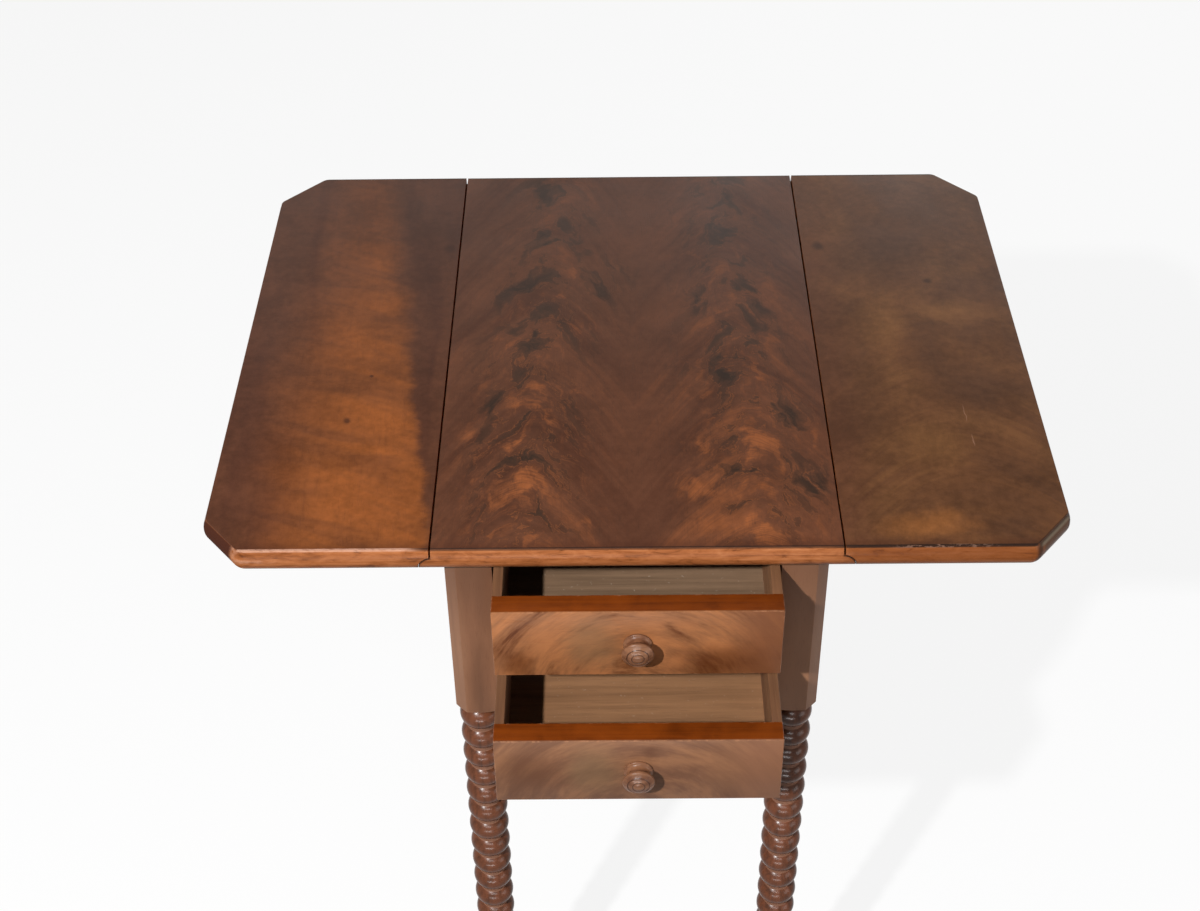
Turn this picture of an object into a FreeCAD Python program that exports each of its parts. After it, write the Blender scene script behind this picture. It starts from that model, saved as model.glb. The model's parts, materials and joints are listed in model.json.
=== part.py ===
import FreeCAD, Part
import math
import os

# A two-drawer work table with a fixed top and two drop leaves on rule joints.
# Millimetres, +Z up, the drawers open towards -Y. The origin is on the floor,
# midway between the four feet.

# Top and leaves
table_height = 725.0
top_width = 320.0
top_depth = 546.0
top_thickness = 20.0
leaf_width = 183.0
leaf_front_clip_width = 32.0
leaf_front_clip_depth = 38.0
leaf_back_clip_width = 40.0
leaf_back_clip_depth = 43.0

# Thumbnail moulding on the outer edges
edge_step_in = 3.0
edge_step_drop = 1.0
edge_nose_drop = 11.5
edge_under_in = 3.5

# Rule joint between top and leaf
joint_round_radius = 10.0
joint_running_gap = 0.6
joint_line_gap = 1.6

# Table hinges, let into the undersides
hinge_length = 60.0
hinge_end_distance = 84.0
hinge_flap_thickness = 2.0
hinge_knuckle_radius = 3.2
hinge_pin_radius = 1.5
hinge_top_reach = 28.0
hinge_leaf_reach = 44.0
hinge_clearance = 0.4
hinge_pin_clearance = 0.06
hinge_screw_spacing = 20.0
hinge_screw_stagger = 6.0
hinge_screw_length = 12.0
hinge_screw_head_radius = 2.9
hinge_screw_shank_radius = 1.3
hinge_screw_slot = 0.8

# Case
case_inset = 7.0
top_overhang = 15.0
top_rail_thickness = 6.5
drawer_opening_height = 70.5
divider_thickness = 17.0
bottom_rail_thickness = 14.0
rail_depth = 44.0
rail_setback = 1.0
rail_tenon_length = 16.0
rail_tenon_width = 24.0
rail_tenon_thickness = 8.0
top_rail_tail_flare = 5.0
side_thickness = 18.0
side_setback = 2.0
side_tenon_length = 16.0
side_tenon_thickness = 8.0
side_tenon_shoulder = 14.0
back_thickness = 15.0
back_tenon_length = 16.0
back_tenon_thickness = 7.0
back_tenon_shoulder = 18.0

# Legs
leg_block = 38.5
leg_chamfer = 9.5
block_below_case = 3.0
block_corner_margin = 0.2
ring_count = 15
ring_pitch = 25.0
ring_radius = 17.8
ring_neck_radius = 12.4
ring_neck_height = 4.0
ring_top_neck_height = 7.0
vase_radius = 15.5
vase_neck_radius = 11.0
vase_neck_height = 9.0
vase_shoulder_height = 24.0
vase_shoulder_swell = 0.9
vase_shoulder_lift = 2.0
ankle_radius = 9.5
ankle_swell = 0.8
foot_collar_radius = 13.0
foot_collar_round = 1.0
foot_collar_height = 6.0
foot_height = 48.0
foot_radius = 16.0
foot_widest_height = 26.4
foot_neck_radius = 10.0
foot_pad_radius = 11.0

# Fly rails and their swinging brackets
fly_rail_height = 58.0
fly_gap = 0.5
fly_pivot_y = 78.0
fly_reach_top = 142.0
fly_reach_bottom = 96.0
fly_end_gap = 1.0
fly_finger_count = 5
fly_pin_radius = 3.0
fly_pin_clearance = 0.06
inner_rail_tenon_length = 13.0
inner_rail_tenon_thickness = 8.0
inner_rail_tenon_shoulder = 9.0

# Drawer carriage
runner_shelf = 20.5
runner_tongue_length = 8.0
runner_tongue_inset = 6.0
runner_tongue_thickness = 6.0
guide_height = 14.0
kicker_width = 22.0
stop_width = 22.0
stop_length = 12.0
stop_height = 4.5
stop_gap = 0.3
stop_spacing = 120.0
glue_block_size = 20.0
glue_block_length = 60.0
glue_block_kicker_gap = 7.5
top_screw_length = 18.0
top_screw_head_radius = 3.6
top_screw_shank_radius = 1.9
top_screw_slot = 1.0
top_screw_y = 150.0
rail_screw_spacing = 130.0
rail_screw_back = 22.0

# Drawers
drawer_front_height = 69.5
drawer_front_thickness = 19.0
drawer_side_gap = 1.7
drawer_slide_gap = 0.2
drawer_depth = 470.0
drawer_side_thickness = 8.0
drawer_side_drop = 2.5
drawer_back_thickness = 9.0
drawer_back_drop = 7.0
drawer_bottom_thickness = 6.0
drawer_bottom_rise = 7.0
drawer_bottom_edge = 3.0
drawer_bottom_bevel = 16.0
groove_depth = 4.0
tail_count = 3
tail_length = 13.0
tail_root = 10.0
tail_end = 14.5
nail_count = 3
nail_length = 16.0
nail_radius = 0.9
nail_head_radius = 2.0
nail_head_thickness = 0.8
nail_end_distance = 30.0
upper_drawer_out = 56.0
lower_drawer_out = 109.0

# Turned knobs
knob_collar_radius = 11.0
knob_collar_height = 2.2
knob_collar_swell = 0.5
knob_collar_round = 0.6
knob_neck_radius = 8.8
knob_neck_height = 6.2
knob_neck_fillet = 0.6
knob_neck_fillet_height = 0.8
knob_head_radius = 12.6
knob_rim_height = 12.2
knob_rim_under_in = 1.0
knob_rim_under_drop = 2.2
knob_rim_over_in = 1.4
knob_rim_over_rise = 1.6
knob_face_height = 15.6
knob_ring_radius = 8.6
knob_ring_depth = 0.35
knob_ring_width = 0.6
knob_dome_radius = 7.0
knob_dome_height = 16.4
knob_button_radius = 4.8
knob_button_depth = 0.3
knob_button_edge = 0.5
knob_button_foot_height = 17.0
knob_button_round_radius = 2.8
knob_button_round_height = 17.7
knob_crown_height = 18.0
knob_crown_flat_radius = 1.0
knob_tenon_radius = 5.0

# Levels and planes that follow from the sizes above
Vec = FreeCAD.Vector
up = Vec(0, 0, 1)
z_top = table_height
z_under = z_top - top_thickness
z_upper_head = z_under - top_rail_thickness
z_upper_sill = z_upper_head - drawer_opening_height
z_lower_head = z_upper_sill - divider_thickness
z_lower_sill = z_lower_head - drawer_opening_height
z_case = z_lower_sill - bottom_rail_thickness
z_block = z_case - block_below_case
z_fly = z_under - fly_rail_height
pivot_x = top_width / 2
pivot_z = z_under + hinge_flap_thickness
x_case = top_width / 2 - case_inset
y_case = top_depth / 2 - top_overhang
x_open = x_case - leg_block
y_open = y_case - leg_block
runner_inner_x = x_open - runner_shelf
x_side_out = x_case - side_setback
x_side_in = x_side_out - side_thickness
y_rail_front = -y_case + rail_setback
y_rail_back = y_rail_front + rail_depth
y_back_out = y_case - side_setback
y_back_in = y_back_out - back_thickness
span = 4 * (top_width + leaf_width + top_depth)


def block(x0, x1, y0, y1, z0, z1):
    return Part.makeBox(x1 - x0, y1 - y0, z1 - z0, Vec(x0, y0, z0))


# A face from a start point and steps: a point is a line, a pair (middle, end) is an arc
def outline_face(place, start, *steps):
    edges = []
    here = start
    for step in steps + (start,):
        if isinstance(step[0], tuple):
            middle, end = step
            edges.append(Part.Arc(place(*here), place(*middle), place(*end)).toShape())
        else:
            end = step
            if math.dist(here, end) > 1e-6:
                edges.append(Part.LineSegment(place(*here), place(*end)).toShape())
        here = end
    return Part.Face(Part.Wire(edges))


def on_circle(centre, radius, angle):
    return (centre[0] + radius * math.cos(angle), centre[1] + radius * math.sin(angle))


def joined(shapes):
    return shapes[0].fuse(list(shapes[1:])).removeSplitter()


def mirrored_x(shape):
    return shape.mirror(Vec(0, 0, 0), Vec(1, 0, 0))


def mirrored_y(shape):
    return shape.mirror(Vec(0, 0, 0), Vec(0, 1, 0))


# A turned solid about a vertical axis through the origin
def turned(start, *steps):
    face = outline_face(lambda r, z: Vec(r, 0, z), start, *steps)
    return face.revolve(Vec(0, 0, 0), up, 360)


# A countersunk screw that enters upwards: the plain body for its hole, and the slotted screw
def wood_screw(x, y, z, head_radius, shank_radius, slot_width, length):
    head_height = head_radius - shank_radius
    head = Part.makeCone(head_radius, shank_radius, head_height, Vec(x, y, z), up)
    shank = Part.makeCylinder(shank_radius, length, Vec(x, y, z), up)
    body = joined([head, shank])
    slot = block(x - slot_width / 2, x + slot_width / 2, y - head_radius, y + head_radius, z, z + head_height / 2)
    return body, body.cut(slot)


# Top and leaves
# An endless board whose edge at a point carries the thumbnail moulding
def moulded_board(x, y, outward):
    along = Vec(-outward.y, outward.x, 0)
    corner = Vec(x, y, z_top) - along * (span / 2)
    upper_drop = edge_nose_drop - edge_step_drop
    lower_drop = top_thickness - edge_nose_drop
    upper_radius = (edge_step_in ** 2 + upper_drop ** 2) / (2 * edge_step_in)
    lower_radius = (edge_under_in ** 2 + lower_drop ** 2) / (2 * edge_under_in)
    upper_turn = math.atan2(upper_drop, upper_radius - edge_step_in)
    lower_turn = math.atan2(lower_drop, lower_radius - edge_under_in)
    face = outline_face(
        lambda u, z: corner + outward * u + up * z,
        (-span, 0.0),
        (-edge_step_in, 0.0),
        (-edge_step_in, -edge_step_drop),
        (on_circle((-upper_radius, -edge_nose_drop), upper_radius, upper_turn / 2), (0.0, -edge_nose_drop)),
        (on_circle((-lower_radius, -edge_nose_drop), lower_radius, -lower_turn / 2),
         (-edge_under_in, -top_thickness)),
        (-span, -top_thickness),
    )
    return face.extrude(along * span)


def rule_joint_round():
    rise = top_thickness - hinge_flap_thickness
    face = outline_face(
        lambda x, z: Vec(pivot_x + x, -span / 2, z_top + z),
        (-span, 0.0),
        (0.0, 0.0),
        (0.0, joint_round_radius - rise),
        (on_circle((0.0, -rise), joint_round_radius, math.pi / 4), (joint_round_radius, -rise)),
        (joint_round_radius, -top_thickness),
        (-span, -top_thickness),
    )
    return face.extrude(Vec(0, span, 0))


def rule_joint_cove():
    rise = top_thickness - hinge_flap_thickness
    radius = joint_round_radius + joint_running_gap
    lip_angle = math.acos(joint_line_gap / radius)
    face = outline_face(
        lambda x, z: Vec(pivot_x + x, -span / 2, z_top + z),
        (joint_line_gap, 0.0),
        (span, 0.0),
        (span, -top_thickness),
        (radius, -top_thickness),
        (radius, -rise),
        (on_circle((0.0, -rise), radius, lip_angle / 2), on_circle((0.0, -rise), radius, lip_angle)),
    )
    return face.extrude(Vec(0, span, 0))


front_edge = moulded_board(0, -top_depth / 2, Vec(0, -1, 0))
back_edge = mirrored_y(front_edge)
x_leaf_edge = pivot_x + leaf_width
outer_edge = moulded_board(x_leaf_edge, 0, Vec(1, 0, 0))


# The board that a clipped leaf corner follows; side is -1 at the front and 1 at the back
def clipped_edge(width, depth, side):
    clip_x = x_leaf_edge - width / 2
    clip_y = side * (top_depth / 2 - depth / 2)
    return moulded_board(clip_x, clip_y, Vec(depth, side * width, 0).normalize())


front_clip = clipped_edge(leaf_front_clip_width, leaf_front_clip_depth, -1)
back_clip = clipped_edge(leaf_back_clip_width, leaf_back_clip_depth, 1)

table_top = rule_joint_round().common(mirrored_x(rule_joint_round()))
table_top = table_top.common(front_edge).common(back_edge)
right_leaf = rule_joint_cove().common(outer_edge)
for edge_board in (front_edge, back_edge, front_clip, back_clip):
    right_leaf = right_leaf.common(edge_board)


# Hinges: two under each rule joint, pinned at the centre of the round
def hinge(y_middle):
    y0 = y_middle - hinge_length / 2
    y1 = y_middle + hinge_length / 2
    third = hinge_length / 3
    loose = hinge_knuckle_radius + hinge_clearance

    def barrel(first, last, radius):
        start = Vec(pivot_x, y0 + first * third, pivot_z)
        return Part.makeCylinder(radius, (last - first) * third, start, Vec(0, 1, 0))

    slack = hinge_clearance / third
    pin = barrel(0, 3, hinge_pin_radius)
    top_plate = block(pivot_x - hinge_top_reach, pivot_x, y0, y1, z_under, pivot_z)
    top_flap = joined([top_plate, barrel(0, 1, hinge_knuckle_radius), barrel(2, 3, hinge_knuckle_radius)])
    top_flap = top_flap.cut(barrel(1 - slack, 2 + slack, loose)).cut(pin)
    leaf_plate = block(pivot_x, pivot_x + hinge_leaf_reach, y0, y1, z_under, pivot_z)
    leaf_plate = leaf_plate.cut(barrel(-slack, 1, loose)).cut(barrel(2, 3 + slack, loose))
    leaf_flap = joined([leaf_plate, barrel(1, 2, hinge_knuckle_radius)])
    leaf_flap = leaf_flap.cut(barrel(0, 3, hinge_pin_radius + hinge_pin_clearance))

    groove = block(pivot_x - loose, pivot_x + loose, y0 - hinge_clearance, y1 + hinge_clearance, z_under, pivot_z)
    gain = block(pivot_x, pivot_x + 2 * joint_round_radius, y0 - hinge_clearance, y1 + hinge_clearance,
                 z_under, pivot_z + hinge_clearance)
    top_cuts = [top_plate, groove, gain, barrel(-slack, 3 + slack, loose)]

    top_screws = []
    leaf_screws = []
    leaf_screw_x = pivot_x + (joint_round_radius + hinge_leaf_reach) / 2
    for place in (-1, 0, 1):
        y = y_middle + place * hinge_screw_spacing
        shift = hinge_screw_stagger * (0.5 if place else -0.5)
        size = (hinge_screw_head_radius, hinge_screw_shank_radius, hinge_screw_slot, hinge_screw_length)
        body, screw = wood_screw(pivot_x - hinge_top_reach / 2 - shift, y, z_under, *size)
        top_flap = top_flap.cut(body)
        top_cuts.append(body)
        top_screws.append(screw)
        body, screw = wood_screw(leaf_screw_x + shift, y, z_under, *size)
        leaf_flap = leaf_flap.cut(body)
        leaf_screws.append(screw)
        leaf_plate = leaf_plate.fuse(body)
    return top_flap, leaf_flap, pin, top_screws, leaf_screws, top_cuts, leaf_plate


top_flaps = []
leaf_flaps = []
hinge_pins = []
top_hinge_screws = []
leaf_hinge_screws = []
for y_middle in (hinge_end_distance - top_depth / 2, top_depth / 2 - hinge_end_distance):
    top_flap, leaf_flap, pin, top_set, leaf_set, top_cuts, leaf_cut = hinge(y_middle)
    top_flaps.append(top_flap)
    leaf_flaps.append(leaf_flap)
    hinge_pins.append(pin)
    top_hinge_screws += top_set
    leaf_hinge_screws += leaf_set
    for cut in top_cuts:
        table_top = table_top.cut(cut).cut(mirrored_x(cut))
    right_leaf = right_leaf.cut(leaf_cut)


# Front rails, each tenoned into the two front legs
def front_rail(z0, z1):
    z_middle = (z0 + z1) / 2
    y_middle = -y_case + leg_block / 2
    reach = x_open + rail_tenon_length
    bar = block(-x_open, x_open, y_rail_front, y_rail_back, z0, z1)
    tenon = block(-reach, reach, y_middle - rail_tenon_width / 2, y_middle + rail_tenon_width / 2,
                  z_middle - rail_tenon_thickness / 2, z_middle + rail_tenon_thickness / 2)
    return joined([bar, tenon])


# The thin top rail is lapped into the leg tops with a dovetail at each end
def top_rail():
    y_middle = -y_case + leg_block / 2
    reach = x_open + rail_tenon_length
    root = rail_tenon_width / 2 - top_rail_tail_flare
    end = rail_tenon_width / 2
    bar = block(-x_open, x_open, y_rail_front, y_rail_back, z_upper_head, z_under)
    tail = outline_face(
        lambda x, y: Vec(x, y_middle + y, z_upper_head),
        (0.0, -root),
        (x_open, -root),
        (reach, -end),
        (reach, end),
        (x_open, root),
        (0.0, root),
    ).extrude(Vec(0, 0, top_rail_thickness))
    return joined([bar, tail, mirrored_x(tail)])


top_front_rail = top_rail()
drawer_divider = front_rail(z_lower_head, z_upper_sill)
bottom_front_rail = front_rail(z_case, z_lower_sill)


# Side panel below the fly rail, and the back panel
def side_panel():
    x_middle = (x_side_in + x_side_out) / 2
    reach = y_open + side_tenon_length
    board = block(x_side_in, x_side_out, -y_open, y_open, z_case, z_fly)
    tenon = block(x_middle - side_tenon_thickness / 2, x_middle + side_tenon_thickness / 2, -reach, reach,
                  z_case + side_tenon_shoulder, z_fly - side_tenon_shoulder)
    return joined([board, tenon])


def back_board():
    y_middle = (y_back_in + y_back_out) / 2
    reach = x_open + back_tenon_length
    board = block(-x_open, x_open, y_back_in, y_back_out, z_case, z_under)
    tenon = block(-reach, reach, y_middle - back_tenon_thickness / 2, y_middle + back_tenon_thickness / 2,
                  z_case + back_tenon_shoulder, z_under - back_tenon_shoulder)
    return joined([board, tenon])


def inner_rail():
    x_middle = (x_open + x_side_in) / 2
    reach = y_open + inner_rail_tenon_length
    board = block(x_open, x_side_in, -y_open, y_open, z_fly, z_under)
    tenon = block(x_middle - inner_rail_tenon_thickness / 2, x_middle + inner_rail_tenon_thickness / 2,
                  -reach, reach, z_fly + inner_rail_tenon_shoulder,
                  z_upper_head - inner_rail_tenon_shoulder)
    return joined([board, tenon])


right_side_panel = side_panel()
back_panel = back_board()
right_inner_rail = inner_rail()


# Fly rail: front block, swinging bracket with an ogee end, rear block, on a wooden knuckle
fly_knuckle_radius = (side_thickness - fly_gap) / 2
fly_pivot_x = x_side_out - fly_knuckle_radius
fly_z0 = z_fly + fly_gap
fly_z1 = z_under - fly_gap
fly_finger_height = (fly_z1 - fly_z0) / fly_finger_count


# The region in front of the bracket's ogee end, or behind it, seen along X
def ogee_board(y_far, shift, x0, x1, z0, z1):
    y_upper = fly_pivot_y - fly_reach_top + shift
    y_lower = fly_pivot_y - fly_reach_bottom + shift
    half_y = (y_lower - y_upper) / 2
    half_z = (fly_z1 - fly_z0) / 2
    y_middle = y_upper + half_y
    z_middle = fly_z0 + half_z
    radius = (half_y ** 2 + half_z ** 2) / (2 * half_y)
    half_turn = math.atan2(half_z, radius - half_y) / 2
    face = outline_face(
        lambda y, z: Vec(x0, y, z),
        (y_far, z1),
        (y_upper, z1),
        (y_upper, fly_z1),
        (on_circle((y_upper + radius, fly_z1), radius, math.pi + half_turn), (y_middle, z_middle)),
        (on_circle((y_lower - radius, fly_z0), radius, half_turn), (y_lower, fly_z0)),
        (y_lower, z0),
        (y_far, z0),
    )
    return face.extrude(Vec(x1 - x0, 0, 0))


def fly_knuckle(level, radius):
    start = Vec(fly_pivot_x, fly_pivot_y, fly_z0 + level * fly_finger_height)
    return Part.makeCylinder(radius, fly_finger_height, start, up)


# The 45 degree relief outside the knuckle that lets the bracket stand square
def fly_relief(towards):
    face = outline_face(
        lambda x, y: Vec(fly_pivot_x + x, fly_pivot_y + towards * y, z_fly),
        (0.0, fly_gap),
        (2 * side_thickness, fly_gap + 2 * side_thickness),
        (2 * side_thickness, -fly_gap),
        (0.0, -fly_gap),
    )
    return face.extrude(Vec(0, 0, fly_rail_height))


def fly_pin_body(radius):
    return Part.makeCylinder(radius, fly_z1 - fly_z0, Vec(fly_pivot_x, fly_pivot_y, fly_z0), up)


def fly_rail():
    loose = fly_knuckle_radius + fly_gap
    levels = range(fly_finger_count)
    bracket = ogee_board(fly_pivot_y, 0.0, fly_pivot_x - fly_knuckle_radius, x_side_out, fly_z0, fly_z1)
    rear = block(x_side_in, x_side_out, fly_pivot_y, y_open, z_fly, z_under)
    bracket = bracket.cut(fly_relief(-1))
    rear = rear.cut(fly_relief(1))
    for level in levels:
        cleared = fly_knuckle(level, loose)
        finger = fly_knuckle(level, fly_knuckle_radius)
        if level % 2:
            rear = rear.cut(cleared)
            bracket = bracket.cut(cleared).fuse(finger)
        else:
            bracket = bracket.cut(cleared)
            rear = rear.cut(cleared).fuse(finger)
    # each finger keeps a web to its own board
    for level in levels:
        z0 = fly_z0 + level * fly_finger_height
        web_x = (fly_pivot_x - fly_knuckle_radius, fly_pivot_x)
        web_z = (z0, z0 + fly_finger_height)
        if level % 2:
            web = block(*web_x, fly_pivot_y - 2 * loose, fly_pivot_y, *web_z)
            bracket = bracket.fuse(web)
        else:
            web = block(*web_x, fly_pivot_y, fly_pivot_y + 2 * loose, *web_z)
            rear = rear.fuse(web)
    # the running gap between neighbouring fingers comes off the bracket's own
    for level in range(fly_finger_count + 1):
        z = fly_z0 + level * fly_finger_height
        seam = Part.makeCylinder(loose, fly_gap, Vec(fly_pivot_x, fly_pivot_y, z - fly_gap / 2), up)
        bracket = bracket.cut(seam)
    bracket = bracket.removeSplitter().cut(fly_pin_body(fly_pin_radius + fly_pin_clearance))
    rear = rear.removeSplitter().cut(fly_pin_body(fly_pin_radius))
    front = ogee_board(-y_open, -fly_end_gap, x_side_in, x_side_out, z_fly, z_under)
    return front, bracket, rear


right_fly_front_block, right_fly_bracket, right_fly_rear_block = fly_rail()
right_fly_pin = fly_pin_body(fly_pin_radius)


# Drawer carriage: runners with guides, kickers, stops and glue blocks
def runner(z0, z1):
    z_middle = (z0 + z1) / 2
    bar = block(runner_inner_x, x_side_in, y_rail_back, y_open, z0, z1)
    tongue = block(runner_inner_x, x_open - runner_tongue_inset, y_rail_back - runner_tongue_length,
                   y_rail_back, z_middle - runner_tongue_thickness / 2, z_middle + runner_tongue_thickness / 2)
    return joined([bar, tongue])


right_upper_runner = runner(z_lower_head, z_upper_sill)
right_lower_runner = runner(z_case, z_lower_sill)
right_lower_guide = block(x_open, x_side_in, y_rail_back, y_open, z_lower_sill, z_lower_sill + guide_height)
right_kicker = block(x_open - kicker_width, x_open, y_rail_back, y_back_in, z_upper_head, z_under)
drawer_divider = drawer_divider.cut(right_upper_runner).cut(mirrored_x(right_upper_runner))
bottom_front_rail = bottom_front_rail.cut(right_lower_runner).cut(mirrored_x(right_lower_runner))

drawer_stops = []
for z_sill in (z_upper_sill, z_lower_sill):
    for x_middle in (-stop_spacing / 2, stop_spacing / 2):
        y0 = y_rail_front + drawer_front_thickness + stop_gap
        drawer_stops.append(block(x_middle - stop_width / 2, x_middle + stop_width / 2, y0, y0 + stop_length,
                                  z_sill, z_sill + stop_height))

glue_blocks = []
glue_block_x = x_open - kicker_width - glue_block_kicker_gap - glue_block_length / 2
for x_middle in (-glue_block_x, glue_block_x):
    face = outline_face(
        lambda y, z: Vec(x_middle - glue_block_length / 2, y, z),
        (y_back_in, z_under),
        (y_back_in, z_under - glue_block_size),
        (y_back_in - glue_block_size, z_under),
    )
    glue_blocks.append(face.extrude(Vec(glue_block_length, 0, 0)))

# Screws up through the top rail and the kickers into the top
screw_places = []
for side in (-1, 1):
    screw_places.append((side * rail_screw_spacing / 2, y_rail_front + rail_screw_back))
    for y in (-top_screw_y, top_screw_y):
        screw_places.append((side * (x_open - kicker_width / 2), y))
top_screws = []
for x, y in screw_places:
    body, screw = wood_screw(x, y, z_upper_head, top_screw_head_radius, top_screw_shank_radius,
                             top_screw_slot, top_screw_length)
    top_screws.append(screw)
    table_top = table_top.cut(body)
    top_front_rail = top_front_rail.cut(body)
    right_kicker = right_kicker.cut(body)


# Legs: a square block with the outer corner taken off, then ring turning down to the foot
def leg():
    half = leg_block / 2
    square = outline_face(
        lambda x, y: Vec(x, y, z_block),
        (-half, half),
        (-half, -half),
        (half - leg_chamfer, -half),
        (half, leg_chamfer - half),
        (half, half),
    ).extrude(Vec(0, 0, z_under - z_block))
    corner = half * math.sqrt(2) + block_corner_margin
    round_radius = corner - ring_radius
    shoulder = turned(
        (0.0, z_block),
        (ring_radius, z_block),
        (on_circle((ring_radius, z_block + round_radius), round_radius, -math.pi / 4),
         (corner, z_block + round_radius)),
        (corner, z_under),
        (0.0, z_under),
    )
    steps = [(ring_neck_radius, z_block)]
    z_rings = z_block - ring_top_neck_height
    for ring in range(ring_count):
        z = z_rings - ring * ring_pitch
        z_neck = z - ring_pitch + ring_neck_height
        steps.append((ring_neck_radius, z))
        steps.append(((ring_radius, (z + z_neck) / 2), (ring_neck_radius, z_neck)))
    z_vase = z_rings - ring_count * ring_pitch - vase_neck_height
    z_collar = foot_height + foot_collar_height
    z_shoulder = z_vase - vase_shoulder_height
    steps.append((vase_neck_radius, z_vase))
    steps.append((((vase_neck_radius + vase_radius) / 2 + vase_shoulder_swell,
                   (z_vase + z_shoulder) / 2 + vase_shoulder_lift), (vase_radius, z_shoulder)))
    steps.append((((vase_radius + ankle_radius) / 2 + ankle_swell, (z_shoulder + z_collar) / 2),
                  (ankle_radius, z_collar)))
    steps.append((foot_collar_radius - foot_collar_round, z_collar))
    steps.append(((foot_collar_radius, z_collar - foot_collar_height / 2),
                  (foot_collar_radius - foot_collar_round, foot_height)))
    steps.append((foot_neck_radius, foot_height))
    steps.append(((foot_radius, foot_widest_height), (foot_pad_radius, 0.0)))
    steps.append((0.0, 0.0))
    turning = turned((0.0, z_block), *steps)
    return joined([square.common(shoulder), turning])


front_right_leg = leg().translated(Vec(x_case - leg_block / 2, leg_block / 2 - y_case, 0))
rear_right_leg = mirrored_y(front_right_leg)
for member in (top_front_rail, drawer_divider, bottom_front_rail, right_side_panel, right_inner_rail):
    front_right_leg = front_right_leg.cut(member)
for member in (back_panel, right_side_panel, right_inner_rail):
    rear_right_leg = rear_right_leg.cut(member)


# Drawers
def dovetails(x0, x1, y, length, z0, z1, root, end):
    tails = []
    step = (z1 - z0) / tail_count
    for tail in range(tail_count):
        z = z0 + (tail + 0.5) * step
        face = outline_face(
            lambda along, across: Vec(x0, y + along, z + across),
            (0.0, -root / 2),
            (length, -end / 2),
            (length, end / 2),
            (0.0, root / 2),
        )
        tails.append(face.extrude(Vec(x1 - x0, 0, 0)))
    return tails


def knob(z_middle):
    button_foot = knob_button_foot_height - knob_button_depth
    face = outline_face(
        lambda r, out: Vec(r, y_rail_front - out, z_middle),
        (0.0, -drawer_front_thickness),
        (knob_tenon_radius, -drawer_front_thickness),
        (knob_tenon_radius, 0.0),
        (knob_collar_radius, 0.0),
        ((knob_collar_radius + knob_collar_swell, knob_collar_height / 2),
         (knob_collar_radius - knob_collar_round, knob_collar_height)),
        (knob_neck_radius + knob_neck_fillet, knob_collar_height + knob_neck_fillet_height),
        ((knob_neck_radius, knob_neck_height),
         (knob_head_radius - knob_rim_under_in, knob_rim_height - knob_rim_under_drop)),
        ((knob_head_radius, knob_rim_height),
         (knob_head_radius - knob_rim_over_in, knob_rim_height + knob_rim_over_rise)),
        (knob_ring_radius + knob_ring_width, knob_face_height),
        (knob_ring_radius, knob_face_height - knob_ring_depth),
        (knob_ring_radius - knob_ring_width, knob_face_height + knob_ring_depth),
        ((knob_dome_radius, knob_dome_height), (knob_button_radius + knob_button_edge, knob_button_foot_height)),
        (knob_button_radius, button_foot),
        (knob_button_radius - knob_button_edge, knob_button_foot_height),
        ((knob_button_round_radius, knob_button_round_height), (knob_crown_flat_radius, knob_crown_height)),
        (0.0, knob_crown_height),
    )
    return face.revolve(Vec(0, y_rail_front, z_middle), Vec(0, 1, 0), 360)


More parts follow.
